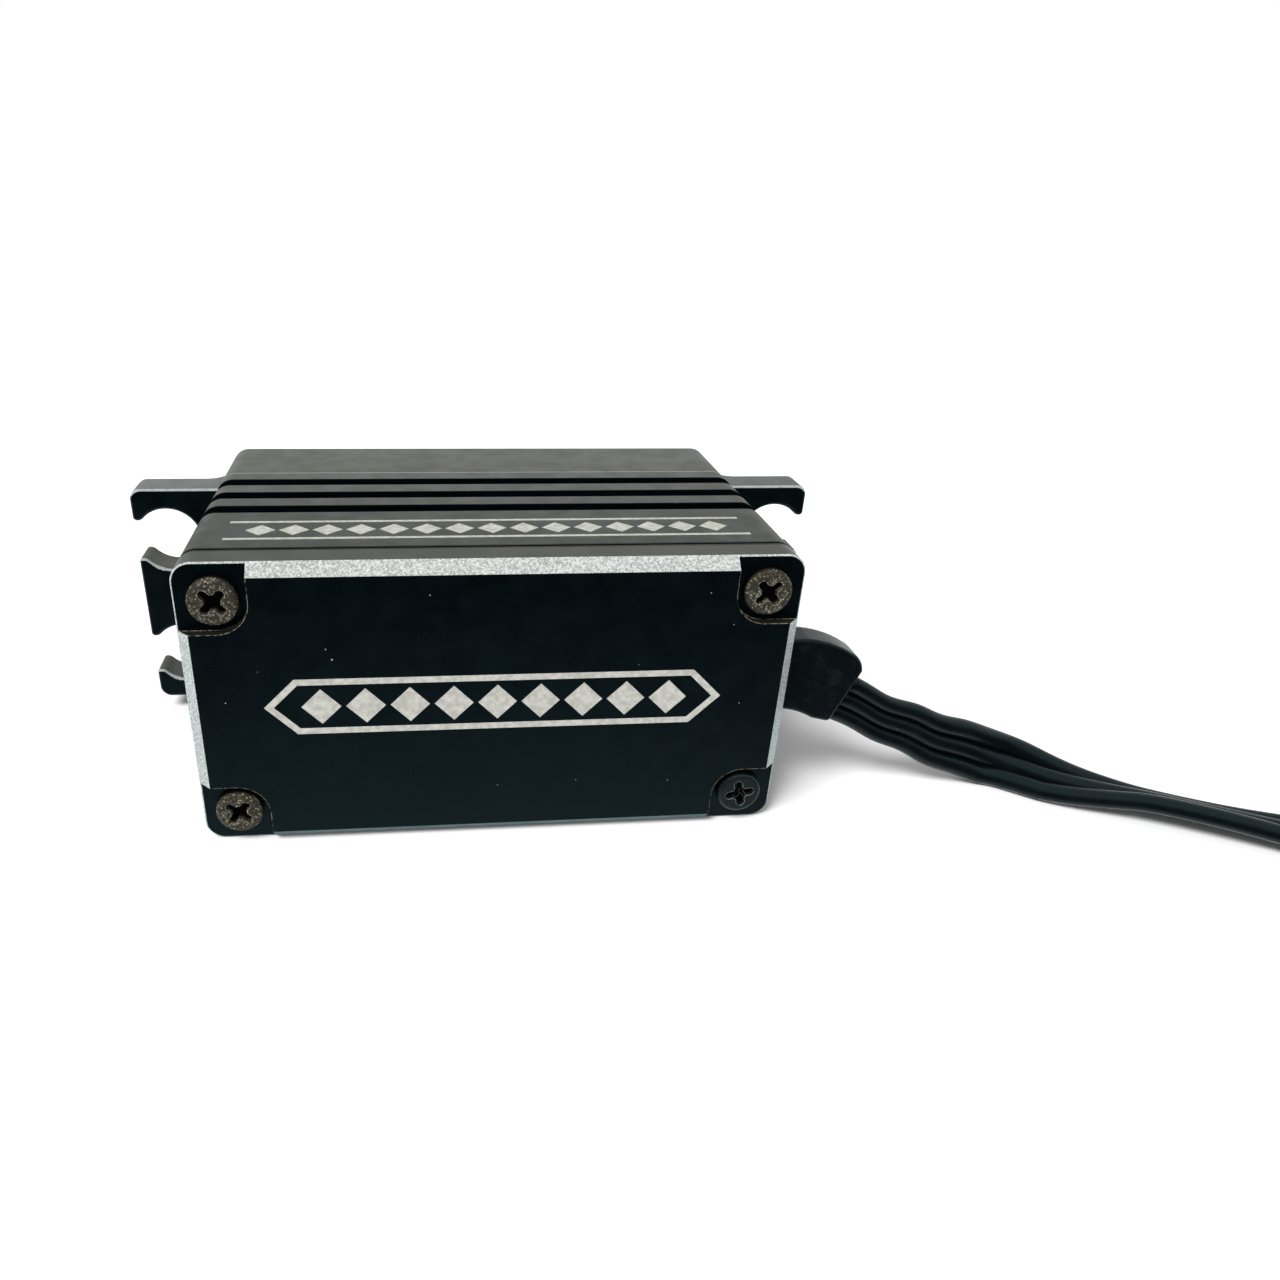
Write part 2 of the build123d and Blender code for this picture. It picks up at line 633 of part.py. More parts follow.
def build_case_screws():
    save(case_screws(CORNERS[:3], SCREW_TURNS[:3]), "case_screws")
    save(case_screws(CORNERS[3:], SCREW_TURNS[3:]), "replacement_case_screw")


def build_motor_screws():
    places = [
        (
            MOTOR_X + MOTOR_SCREW_PITCH * math.cos(math.radians(angle)),
            -MOTOR_SCREW_PITCH * math.sin(math.radians(angle)),
        )
        for angle in MOTOR_SCREW_ANGLES
    ]
    with BuildPart() as motor_screws:
        with BuildSketch(SERVO.offset(MOTOR_HEAD_START)):
            with Locations(*places):
                Circle(MOTOR_HEAD_RADIUS)
        extrude(amount=FLOOR_END - MOTOR_HEAD_START)
        with BuildSketch(SERVO.offset(MOTOR_HEAD_START)):
            with Locations(*places):
                Circle(MOTOR_SCREW_RADIUS)
        extrude(amount=-(MOTOR_HEAD_START - MOTOR_FACE_START))
        with BuildSketch(SERVO.offset(FLOOR_END)):
            with Locations(*places):
                Rectangle(*MOTOR_CROSS)
                Rectangle(*reversed(MOTOR_CROSS))
        extrude(amount=-MOTOR_CROSS_DEPTH, mode=Mode.SUBTRACT)
    save(motor_screws, "motor_screws")


# ---- motor ----

def build_motor():
    with BuildPart() as motor_can:
        with BuildSketch(SERVO.offset(MOTOR_CAN_START)):
            with Locations((MOTOR_X, 0)):
                Circle(MOTOR_RADIUS)
        extrude(amount=FLOOR_START - MOTOR_CAN_START)
        with BuildSketch(SERVO.offset(FLOOR_START)):
            with Locations((MOTOR_X, 0)):
                Circle(PILOT_RADIUS)
        extrude(amount=PILOT_END - FLOOR_START)
        with BuildSketch(SERVO.offset(MOTOR_CAN_START)):
            with Locations((MOTOR_X, 0)):
                Circle(MOTOR_RADIUS - MOTOR_WALL)
        extrude(amount=MOTOR_FACE_START - MOTOR_CAN_START, mode=Mode.SUBTRACT)
        with BuildSketch(SERVO.offset(MOTOR_FACE_START)):
            with Locations((MOTOR_X, 0)):
                Circle(SHAFT_BUSH_RADIUS)
                with PolarLocations(MOTOR_SCREW_PITCH, 2, start_angle=-MOTOR_SCREW_ANGLES[0]):
                    Circle(MOTOR_SCREW_RADIUS)
        extrude(amount=PILOT_END - MOTOR_FACE_START, mode=Mode.SUBTRACT)
    save(motor_can, "motor_can")

    bush_bore = MOTOR_SHAFT_RADIUS + RUNNING
    save(
        ring_solid(MOTOR_X, 0, SHAFT_BUSH_RADIUS, bush_bore, MOTOR_FACE_START, PILOT_END),
        "motor_front_bush",
    )
    save(
        ring_solid(MOTOR_X, 0, MAGNET_RADIUS, MAGNET_BORE, MAGNET_START, MOTOR_FACE_START),
        "motor_magnet",
    )

    with BuildPart() as motor_end_cap:
        with BuildSketch(SERVO.offset(MOTOR_START)):
            with Locations((MOTOR_X, 0)):
                Circle(MOTOR_RADIUS)
        extrude(amount=MOTOR_CAN_START - MOTOR_START)
        with BuildSketch(SERVO.offset(MOTOR_START + CAP_THICKNESS)):
            with Locations((MOTOR_X, 0)):
                Circle(MOTOR_CAP_INNER)
        extrude(amount=MOTOR_CAN_START - MOTOR_START - CAP_THICKNESS, mode=Mode.SUBTRACT)
        with BuildSketch(SERVO.offset(MOTOR_START)):
            with Locations((MOTOR_X, 0)):
                Circle(SHAFT_BUSH_RADIUS)
            with Locations(*TERMINALS):
                Rectangle(*TERMINAL_SIZE)
        extrude(amount=CAP_THICKNESS, mode=Mode.SUBTRACT)
    save(motor_end_cap, "motor_end_cap")
    save(
        ring_solid(MOTOR_X, 0, SHAFT_BUSH_RADIUS, bush_bore, MOTOR_START, MOTOR_START + CAP_THICKNESS),
        "motor_rear_bush",
    )

    # spring brushes that press on the commutator, each one piece with its terminal
    with BuildPart() as motor_brushes:
        for side, place in zip((-1, 1), TERMINALS):
            with BuildSketch(SERVO.offset(BOARD_END)):
                with Locations(place):
                    Rectangle(*TERMINAL_SIZE)
            extrude(amount=TERMINAL_END - BOARD_END)
            blade = TERMINAL_SPREAD - COMMUTATOR_RADIUS - RUNNING
            blade_x = MOTOR_X + side * (COMMUTATOR_RADIUS + RUNNING + blade / 2)
            with BuildSketch(SERVO.offset(BLADE_START)):
                with Locations((blade_x, 0)):
                    Rectangle(blade, BLADE_HEIGHT)
            extrude(amount=BLADE_THICKNESS)
    save(motor_brushes, "motor_brushes")

    save(
        ring_solid(MOTOR_X, 0, WINDING_OUTER, WINDING_INNER, WINDING_START, WINDING_END),
        "armature_winding",
    )
    save(
        ring_solid(MOTOR_X, 0, WINDING_OUTER, MOTOR_SHAFT_RADIUS, CARRIER_START, WINDING_START),
        "winding_carrier",
    )
    save(
        ring_solid(MOTOR_X, 0, COMMUTATOR_RADIUS, MOTOR_SHAFT_RADIUS, COMMUTATOR_START, CARRIER_START),
        "commutator",
    )
    save(ring_solid(MOTOR_X, 0, MOTOR_SHAFT_RADIUS, 0, SHAFT_START, PINION_END), "motor_shaft")
    save(
        gear_blank(
            MOTOR_X, 0, [(PINION_1, MODULE_1, 0, PINION_START, PINION_END)],
            MOTOR_SHAFT_RADIUS, PINION_START, PINION_END,
        ),
        "motor_pinion",
    )


# ---- gear train ----


def build_gears():
    phase_1 = meshed_phase(MOTOR_X, 0, PIN_A_X, PIN_A_UP, PINION_1, 0, WHEEL_1)
    phase_2 = meshed_phase(PIN_A_X, PIN_A_UP, PIN_B_X, PIN_B_UP, PINION_2, 0, WHEEL_2)
    phase_3 = meshed_phase(PIN_B_X, PIN_B_UP, PIN_A_X, PIN_A_UP, PINION_3, 0, WHEEL_3)
    phase_4 = meshed_phase(PIN_A_X, PIN_A_UP, OUTPUT_X, 0, PINION_4, 0, WHEEL_4)

    start, shoulder, end = FIRST_GEAR_STEPS
    layers = [(WHEEL_1, MODULE_1, phase_1, start, shoulder), (PINION_2, MODULE_2, 0, shoulder, end)]
    save(gear_blank(PIN_A_X, PIN_A_UP, layers, PIN_A_RADIUS + RUNNING, start, end), "first_gear")

    foot, start, shoulder, end, top = SECOND_GEAR_STEPS
    layers = [
        (0, SECOND_FOOT_RADIUS, 0, foot, start),
        (WHEEL_2, MODULE_2, phase_2, start, shoulder),
        (PINION_3, MODULE_3, 0, shoulder, end),
        (0, SECOND_TOP_RADIUS, 0, end, top),
    ]
    save(gear_blank(PIN_B_X, PIN_B_UP, layers, PIN_B_RADIUS + RUNNING, foot, top), "second_gear")

    start, shoulder, end, top = THIRD_GEAR_STEPS
    layers = [
        (WHEEL_3, MODULE_3, phase_3, start, shoulder),
        (PINION_4, MODULE_4, 0, shoulder, end),
        (0, THIRD_TOP_RADIUS, 0, end, top),
    ]
    save(gear_blank(PIN_A_X, PIN_A_UP, layers, PIN_A_RADIUS + RUNNING, start, top), "third_gear")

    start, end = OUTPUT_WHEEL_STEPS
    with BuildPart() as output_gear:
        with BuildSketch(axis_plane(OUTPUT_X, 0, start)):
            add(gear_face(WHEEL_4, MODULE_4, phase_4))
        extrude(amount=end - start)
        with BuildSketch(axis_plane(OUTPUT_X, 0, OUTPUT_FOOT_START)):
            Circle(LOWER_BEARING_INNER - THREAD_GAP)
        extrude(amount=start - OUTPUT_FOOT_START)
        with BuildSketch(axis_plane(OUTPUT_X, 0, OUTPUT_HUB_START)):
            Circle(OUTPUT_HUB_RADIUS)
        extrude(amount=start - OUTPUT_HUB_START)
        with BuildSketch(axis_plane(OUTPUT_X, 0, end)):
            Circle(SHAFT_RADIUS - THREAD_GAP)
        extrude(amount=SPLINE_START - end)
        with BuildSketch(axis_plane(OUTPUT_X, 0, SPLINE_START)):
            add(spline_outline())
        extrude(amount=SHAFT_END - SPLINE_START)
        with BuildSketch(axis_plane(OUTPUT_X, 0, SHAFT_END)):
            Circle(HORN_THREAD_RADIUS)
        extrude(amount=-HORN_THREAD_DEPTH, mode=Mode.SUBTRACT)
        with BuildSketch(axis_plane(OUTPUT_X, 0, LOWER_BEARING_START)):
            Circle(POT_SHAFT_RADIUS + THREAD_GAP)
        extrude(amount=SENSOR_BORE_END - LOWER_BEARING_START, mode=Mode.SUBTRACT)
    save(output_gear, "output_gear")

    save(ring_solid(PIN_A_X, PIN_A_UP, PIN_A_RADIUS, 0, PIN_START, PIN_END), "middle_gear_pin")
    save(ring_solid(PIN_B_X, PIN_B_UP, PIN_B_RADIUS, 0, PIN_START, PIN_END), "second_gear_pin")


def spline_outline():
    """The output spline: pointed teeth all round the shaft's end."""
    points = []
    for i in range(2 * SPLINE_TEETH):
        radius = SPLINE_TIP_RADIUS if i % 2 else SPLINE_ROOT_RADIUS
        angle = math.pi * i / SPLINE_TEETH
        points.append((radius * math.cos(angle), radius * math.sin(angle)))
    with BuildSketch() as outline:
        with BuildLine():
            Polyline(*points, close=True)
        make_face()
    return outline.sketch


# ---- bearings and output seal ----

def build_bearing(name, outer, inner, start, end):
    """A ball bearing as three nodes: outer ring, balls, and the inner ring that turns with the shaft."""
    middle = (outer + inner) / 2
    depth = (start + end) / 2
    ball = (outer - inner) * BALL_SHARE
    land = ball * LAND_SHARE
    centre = point(OUTPUT_X, depth, HALF_THICKNESS)

    def race(low, high):
        with BuildPart() as ring:
            with BuildSketch(axis_plane(OUTPUT_X, 0, start)):
                Circle(high)
                Circle(low, mode=Mode.SUBTRACT)
            extrude(amount=end - start)
            with BuildSketch(Plane(origin=centre, x_dir=(1, 0, 0), z_dir=(0, 0, 1))):
                with Locations((middle, 0)):
                    Circle(ball + RUNNING)
            revolve(axis=Axis(centre, (0, 1, 0)), mode=Mode.SUBTRACT)
        return ring

    save(race(middle + land, outer), f"{name}_outer_ring")
    save(race(inner, middle - land), f"{name}_inner_ring")
    with BuildPart() as ball_set:
        with Locations(axis_plane(OUTPUT_X, 0, depth)):
            with PolarLocations(middle, BALLS):
                Sphere(ball)
    save(ball_set, f"{name}_balls")


def build_output_seal():
    bore = SHAFT_RADIUS + RUNNING
    save(
        ring_solid(OUTPUT_X, 0, OUTPUT_SEAL_OUTER, bore, UPPER_BEARING_END, OUTPUT_SEAL_END),
        "output_seal",
    )


# ---- position sensor ----


def build_position_sensor():
    with BuildPart() as sensor_can:
        with BuildSketch(SERVO.offset(POT_START)):
            with Locations((OUTPUT_X, 0)):
                Circle(POT_RADIUS)
        extrude(amount=POT_END - POT_START)
        with BuildSketch(SERVO.offset(TRACK_START)):
            with Locations((OUTPUT_X, 0)):
                Circle(POT_RADIUS - POT_WALL)
        extrude(amount=POT_END - POT_WALL - TRACK_START, mode=Mode.SUBTRACT)
        with BuildSketch(SERVO.offset(TRACK_START)):
            with Locations((OUTPUT_X, 0)):
                Circle(POT_SHAFT_RADIUS + RUNNING)
        extrude(amount=POT_END - TRACK_START, mode=Mode.SUBTRACT)
    save(sensor_can, "position_sensor_can")

    save(
        ring_solid(OUTPUT_X, 0, POT_RADIUS - POT_WALL, TRACK_INNER, TRACK_START, TRACK_END),
        "resistive_track",
    )

    with BuildPart() as sensor_shaft:
        with BuildSketch(SERVO.offset(TRACK_END + TRACK_GAP)):
            with Locations((OUTPUT_X, 0)):
                Circle(POT_SHAFT_RADIUS)
        extrude(amount=POT_SHAFT_END - TRACK_END - TRACK_GAP)
        with BuildSketch(SERVO.offset(WIPER_START)):
            with Locations((OUTPUT_X, 0)):
                Circle(WIPER_RADIUS)
        extrude(amount=WIPER_END - WIPER_START)
        with BuildSketch(SERVO.offset(TRACK_END + RUNNING)):
            with Locations((CONTACT_PLACE, 0)):
                Rectangle(*CONTACT_SIZE)
        extrude(amount=WIPER_START - TRACK_END - RUNNING)
    save(sensor_shaft, "position_sensor_shaft")

    with BuildPart() as sensor_leads:
        with BuildSketch(SERVO.offset(BOARD_END)):
            with Locations(*POT_PINS):
                Circle(SENSOR_LEAD_RADIUS)
        extrude(amount=POT_START - BOARD_END)
    save(sensor_leads, "position_sensor_leads")


# ---- control board ----


def build_chips(name, places, body, legs=(), below=False):
    """Components on one face of the board; body and legs are length, height and thickness."""
    side = -1 if below else 1
    face = BOARD_START if below else BOARD_END
    with BuildPart() as chips:
        for length, height, thickness in (body, *legs):
            with BuildSketch(SERVO.offset(face)):
                with Locations(*places):
                    Rectangle(length, height)
            extrude(amount=side * thickness)
    save(chips, name)


def build_board():
    with BuildPart() as control_board:
        with BuildSketch(SERVO.offset(BOARD_START)):
            RectangleRounded(BOARD_LENGTH, BOARD_HEIGHT, BOARD_CORNER)
            with Locations(*CORNERS):
                Circle(BOARD_NOTCH, mode=Mode.SUBTRACT)
            for x, y in CORNERS:
                cut_x = x + math.copysign(BOARD_CUT_SHIFT, x)
                cut_y = y + math.copysign(BOARD_CUT_SHIFT, y)
                with Locations((cut_x, cut_y)):
                    Rectangle(BOARD_CUT, BOARD_CUT, mode=Mode.SUBTRACT)
        extrude(amount=BOARD_END - BOARD_START)
    save(control_board, "control_board")

    build_chips("microcontroller", [(5.2, -3.6)], (5.0, 5.0, 0.9), [(6.4, 4.4, 0.25), (4.4, 6.4, 0.25)])
    build_chips("voltage_regulator", [(12.0, -4.6)], (4.6, 2.6, 1.6), [(3.8, 4.4, 0.3)])
    build_chips("crystal", [(4.4, 1.6)], (3.2, 1.5, 0.8))
    build_chips("motor_transistors", TRANSISTORS, (3.3, 3.3, TRANSISTOR_THICKNESS), [(4.3, 2.7, 0.3)], True)
    build_chips("smoothing_capacitors", [(13.8, 6.2), (9.6, 6.2)], (3.2, 1.6, 1.4))

    # pad that carries the transistors' heat to the metal cover
    with BuildPart() as thermal_pad:
        with BuildSketch(SERVO.offset(COVER_POCKET_DEPTH)):
            with Locations((PAD_X, 0)):
                Rectangle(PAD_LENGTH, PAD_HEIGHT)
        extrude(amount=BOARD_START - TRANSISTOR_THICKNESS - COVER_POCKET_DEPTH)
    save(thermal_pad, "thermal_pad")


# ---- lead, boot and plug ----


def build_boot():
    """Rubber strain relief: a flange inside the wall, a neck in the slot, and a drooping sleeve outside."""
    slot_up = -BOOT_SLOT_UP
    with BuildPart() as strain_relief_boot:
        profile = Plane(origin=point(0, BOOT_END, 0), x_dir=(1, 0, 0), z_dir=(0, -1, 0))
        with BuildSketch(profile) as outline:
            with BuildLine():
                Line((HALF_LENGTH, BOOT_TOP), BOOT_RIDGE[0])
                ThreePointArc(*BOOT_RIDGE)
                ThreePointArc(BOOT_RIDGE[-1], BOOT_SHOULDER, BOOT_TIP)
                Line(BOOT_TIP, BOOT_HEEL)
                Line(BOOT_HEEL, BOOT_BELLY[0])
                ThreePointArc(*BOOT_BELLY)
                Line(BOOT_BELLY[-1], (HALF_LENGTH, BOOT_TOP))
            make_face()
            heel = [corner for corner in outline.vertices() if abs(corner.Y - BOOT_HEEL[1]) < 0.01]
            fillet(heel, BOOT_HEEL_ROUND)
        extrude(amount=BOOT_END - BOOT_START)
        outside = [edge for edge in strain_relief_boot.edges() if edge.center().X > HALF_LENGTH + 0.2]
        back_edges = [edge for edge in outside if edge.center().Y > FRONT_Y + BOOT_END - 0.01]
        fillet(back_edges, BOOT_BACK_ROUND)
        outside = [edge for edge in strain_relief_boot.edges() if edge.center().X > HALF_LENGTH + 0.2]
        front_edges = [edge for edge in outside if edge.center().Y < FRONT_Y + BOOT_START + 0.01]
        fillet(front_edges, BOOT_FRONT_ROUND)
        with BuildSketch(SERVO.offset(BOOT_START)):
            with Locations(((BAY_LENGTH / 2 + HALF_LENGTH) / 2, slot_up)):
                Rectangle(HALF_LENGTH - BAY_LENGTH / 2 + SHELL_GAP, BOOT_SLOT_HEIGHT)
        extrude(amount=BOOT_SLOT_END - BOOT_START)
        with BuildSketch(SERVO.offset(FLANGE_START)):
            with Locations((FLANGE_X, slot_up)):
                Rectangle(FLANGE_THICKNESS, FLANGE_HEIGHT)
        extrude(amount=FLANGE_END - FLANGE_START)
    save(strain_relief_boot, "strain_relief_boot")

    # bared ends of the three wires, soldered to the board
    with BuildPart() as lead_ends:
        root = point(FLANGE_X - FLANGE_THICKNESS / 2, BOARD_END + WIRE_RADIUS, HALF_THICKNESS + BOOT_SLOT_UP)
        with BuildSketch(Plane(origin=root, x_dir=(0, 0, 1), z_dir=(-1, 0, 0))):
            with GridLocations(WIRE_PITCH, 1, 3, 1):
                Circle(WIRE_RADIUS)
        extrude(amount=WIRE_END_LENGTH)
    save(lead_ends, "lead_wire_ends")


def coil_point(angle, radius, along=0.0, height=LEAD_FLOOR):
    """A place beside the coil, at an angle about its middle, and moved along the winding's direction."""
    turn = math.radians(angle)
    x = COIL_X + radius * math.cos(turn) - along * math.sin(turn)
    depth = COIL_DEPTH + radius * math.sin(turn) + along * math.cos(turn)
    return (x, depth, height)


def curl_route():
    """Corners of the curl: evenly spaced round its circle, then straight into the back of the plug."""
    middle_x, middle_depth, height = coil_point(PLUG_ANGLE, PLUG_DISTANCE - CURL_RADIUS, -PLUG_LENGTH / 2)
    corner_radius = CURL_RADIUS / math.cos(math.radians(CURL_STEP / 2))
    route = []
    for step in (2.5, 1.5, 0.5):
        turn = math.radians(PLUG_ANGLE - step * CURL_STEP)
        x = middle_x + corner_radius * math.cos(turn)
        depth = middle_depth + corner_radius * math.sin(turn)
        route.append((x, depth, height))
    route.append(coil_point(PLUG_ANGLE, PLUG_DISTANCE, CURL_HALF_RUN - PLUG_LENGTH / 2))
    return route


def rounded_route(route):
    """Straight runs joined by the largest tangent arcs they allow: 0.45 of the shorter run at each bend."""
    places = [Vector(*point(*stop)) for stop in route]
    radii = []
    for before, here, after in zip(places, places[1:], places[2:]):
        into, out = here - before, after - here
        turn = math.radians(into.get_angle(out))
        radii.append(0.45 * min(into.length, out.length) / math.tan(turn / 2))
    return places, radii


def build_cord(name, route, diameter):
    places, radii = rounded_route(route)
    with BuildPart() as cord:
        with BuildLine() as path:
            FilletPolyline(*places, radius=radii)
        with BuildSketch(Plane(origin=places[0], z_dir=path.line % 0)):
            Circle(diameter / 2)
        sweep()
    length = path.wires()[0].length
    section = math.pi * diameter**2 / 4
    print(name, "radii", [round(radius, 1) for radius in radii])
    print(name, "length", round(length, 1), "volume ratio", round(cord.part.volume / (section * length), 4))
    save(cord, name)


def build_lead():
    build_cord("servo_lead", LEAD_ROUTE, LEAD_DIAMETER)
    build_cord("servo_lead_end", curl_route(), LEAD_DIAMETER)

    with BuildPart() as lead_coil:
        with BuildSketch(Plane.XY):
            with Locations(point(COIL_X, COIL_DEPTH, 0)[:2]):
                Circle(COIL_OUTER)
                Circle(COIL_INNER, mode=Mode.SUBTRACT)
        extrude(amount=COIL_HEIGHT)
        fillet(lead_coil.edges(), COIL_ROUND)
    save(lead_coil, "lead_coil")

    tie_foot = point(*coil_point(TIE_ANGLE, COIL_MIDDLE, height=0))
    turn = math.radians(TIE_ANGLE)
    tie_plane = Plane(origin=tie_foot, x_dir=(math.cos(turn), math.sin(turn), 0), z_dir=(0, 0, 1))
    with BuildPart() as lead_tie:
        with BuildSketch(tie_plane):
            RectangleRounded(TIE_LENGTH, TIE_WIDTH, TIE_ROUND)
        extrude(amount=TIE_HEIGHT)
        with BuildSketch(tie_plane.offset(TIE_START)):
            Rectangle(TIE_OPENING, TIE_WIDTH + 1)
        extrude(amount=TIE_END - TIE_START, mode=Mode.SUBTRACT)
    save(lead_tie, "lead_tie")


def build_plug():
    """Three-way socket connector with a rib down each narrow side and three sockets in its front."""
    foot = point(*coil_point(PLUG_ANGLE, PLUG_DISTANCE, CURL_HALF_RUN, 0))
    turn = math.radians(PLUG_ANGLE + 90)
    plug_plane = Plane(origin=foot, x_dir=(math.cos(turn), math.sin(turn), 0), z_dir=(0, 0, 1))
    with BuildPart() as plug:
        with BuildSketch(plug_plane):
            Rectangle(PLUG_LENGTH, PLUG_WIDTH)
        extrude(amount=PLUG_HEIGHT)
        chamfer(plug.edges().filter_by(Plane.XY, reverse=True), PLUG_CHAMFER)
        front = Plane(
            origin=plug_plane.from_local_coords((PLUG_LENGTH / 2, 0, PLUG_HEIGHT / 2)),
            x_dir=plug_plane.y_dir,
            z_dir=plug_plane.x_dir,
        )
        with BuildSketch(front):
            with GridLocations(PIN_PITCH, 1, 3, 1):
                Rectangle(SOCKET_SIZE, SOCKET_SIZE)
        extrude(amount=-SOCKET_DEPTH, mode=Mode.SUBTRACT)
    save(plug, "servo_plug")

    with BuildPart() as contacts:
        with BuildSketch(front.offset(-CONTACT_START)):
            with GridLocations(PIN_PITCH, 1, 3, 1):
                Rectangle(CONTACT_OUTER, CONTACT_OUTER)
                Rectangle(CONTACT_INNER, CONTACT_INNER, mode=Mode.SUBTRACT)
        extrude(amount=-CONTACT_LENGTH)
    save(contacts, "plug_contacts")


def build_all():
    build_bottom_cover()
    build_bottom_seal()
    build_middle_case()
    build_top_seal()
    build_top_case()
    build_case_screws()
    build_motor_screws()
    build_motor()
    build_gears()
    build_bearing(
        "lower_bearing", LOWER_BEARING_OUTER, LOWER_BEARING_INNER, LOWER_BEARING_START, LOWER_BEARING_END
    )
    build_bearing(
        "upper_bearing", UPPER_BEARING_OUTER, UPPER_BEARING_INNER, UPPER_BEARING_START, UPPER_BEARING_END
    )
    build_output_seal()
    build_position_sensor()
    build_board()
    build_boot()
    build_lead()
    build_plug()


build_all()
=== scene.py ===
"""Looks of a low-profile hobby servo motor that lies on its long side, with its lead coiled beside it."""

import math

import bmesh
import bpy
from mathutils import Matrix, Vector


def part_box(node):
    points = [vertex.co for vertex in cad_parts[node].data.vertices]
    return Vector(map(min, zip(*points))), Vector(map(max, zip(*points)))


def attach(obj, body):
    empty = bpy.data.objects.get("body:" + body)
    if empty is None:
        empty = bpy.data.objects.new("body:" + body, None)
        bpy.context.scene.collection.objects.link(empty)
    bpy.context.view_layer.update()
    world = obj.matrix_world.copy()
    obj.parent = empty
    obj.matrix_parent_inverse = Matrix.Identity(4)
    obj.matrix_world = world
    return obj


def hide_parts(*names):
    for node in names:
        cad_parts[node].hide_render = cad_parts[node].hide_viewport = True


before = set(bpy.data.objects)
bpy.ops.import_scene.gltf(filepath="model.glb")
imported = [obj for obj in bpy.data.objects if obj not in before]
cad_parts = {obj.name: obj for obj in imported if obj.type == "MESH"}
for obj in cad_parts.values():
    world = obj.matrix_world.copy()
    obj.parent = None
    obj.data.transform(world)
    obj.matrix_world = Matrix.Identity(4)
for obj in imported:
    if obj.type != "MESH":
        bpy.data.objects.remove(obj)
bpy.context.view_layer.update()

# ---- places taken from the frame, in metres ----

MM = 0.001
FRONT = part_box("bottom_cover")[0].y
COIL_MIDDLE = sum(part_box("lead_coil"), Vector()) / 2


def place(x, depth, height):
    """A point given by x, depth behind the cover's face and height above the floor, in metres."""
    return Vector((x, FRONT + depth, height))


# ---- camera ----

def add_camera():
    data = bpy.data.cameras.new("camera")
    data.lens = 27.92
    data.shift_x = 0.086
    data.shift_y = 0.0234
    data.clip_start = 0.005
    data.clip_end = 10
    camera = bpy.data.objects.new("camera", data)
    camera.location = (-0.00493, -0.07339, 0.04348)
    camera.rotation_euler = [math.radians(angle) for angle in (62.38, -1.58, -6.13)]
    bpy.context.scene.collection.objects.link(camera)
    bpy.context.scene.camera = camera


add_camera()


# ---- lead: three wires side by side ----

WIRE_RADIUS = 0.00069
WIRE_PITCH = 0.0013       # a little less than a wire, so that the wires touch
WIRE_SIDES = 14
LEAD_ON_EDGE = 0.00206    # middle of the lead where it stands on its edge in the coil

# changes of the ribbon near the boot: how much, where along the lead it is strongest, and how far it reaches
SPREAD = (0.14, 0.014, 0.007)
PINCH = (0.08, 0.004, 0.004)
SWAY = (0.00012, 0.007, 0.006)
LIFT = (0.00010, 0.014, 0.011)
# length of those waves, divided by 2 pi, and their lag from wire to wire in radians
SWAY_LENGTH, SWAY_LAG = 0.0009, 0.4
LIFT_LENGTH, LIFT_LAG = 0.0031, 0.8

# x, depth, height, and the lead's turn: 0 upright, 1 flat, and more where it tips over a little
LEAD_ROUTE = [
    (0.02573, 0.0045, 0.0080, 0.0),
    (0.0297, 0.0045, 0.0059, 0.0),
    (0.0330, 0.0045, 0.0044, 0.0),
    (0.0365, 0.0044, 0.0030, 0.05),
    (0.0393, 0.0043, 0.0020, 0.22),
    (0.0412, 0.0036, 0.0016, 0.55),
    (0.0438, 0.0018, 0.0012, 0.85),
    (0.0470, 0.0001, 0.0011, 1.10),
    (0.0496, -0.0014, 0.0013, 1.27),
    (0.0568, -0.0053, 0.0012, 1.20),
    (0.0641, -0.0095, 0.0014, 0.6),
    (0.0694, -0.0136, 0.0020, 0.1),
]

COIL_START, COIL_TURN = 207, 557   # degrees, counter-clockwise seen from above
COIL_STEP = 20
COIL_FIRST_RADIUS, COIL_LAST_RADIUS = 0.0222, 0.0192

PLUG_ANGLE = 150
PLUG_DISTANCE = 0.0095
PLUG_LENGTH, PLUG_HEIGHT = 0.014, 0.0026
CURL_RADIUS = 0.01355
CURL_STEP = 36
CURL_HALF_RUN = CURL_RADIUS * math.tan(math.radians(CURL_STEP / 2))


def coil_point(angle, radius, along=0.0):
    """x and y beside the coil, at an angle about its middle, and moved along the winding's direction."""
    turn = math.radians(angle)
    x = COIL_MIDDLE.x + radius * math.cos(turn) - along * math.sin(turn)
    y = COIL_MIDDLE.y + radius * math.sin(turn) + along * math.cos(turn)
    return x, y


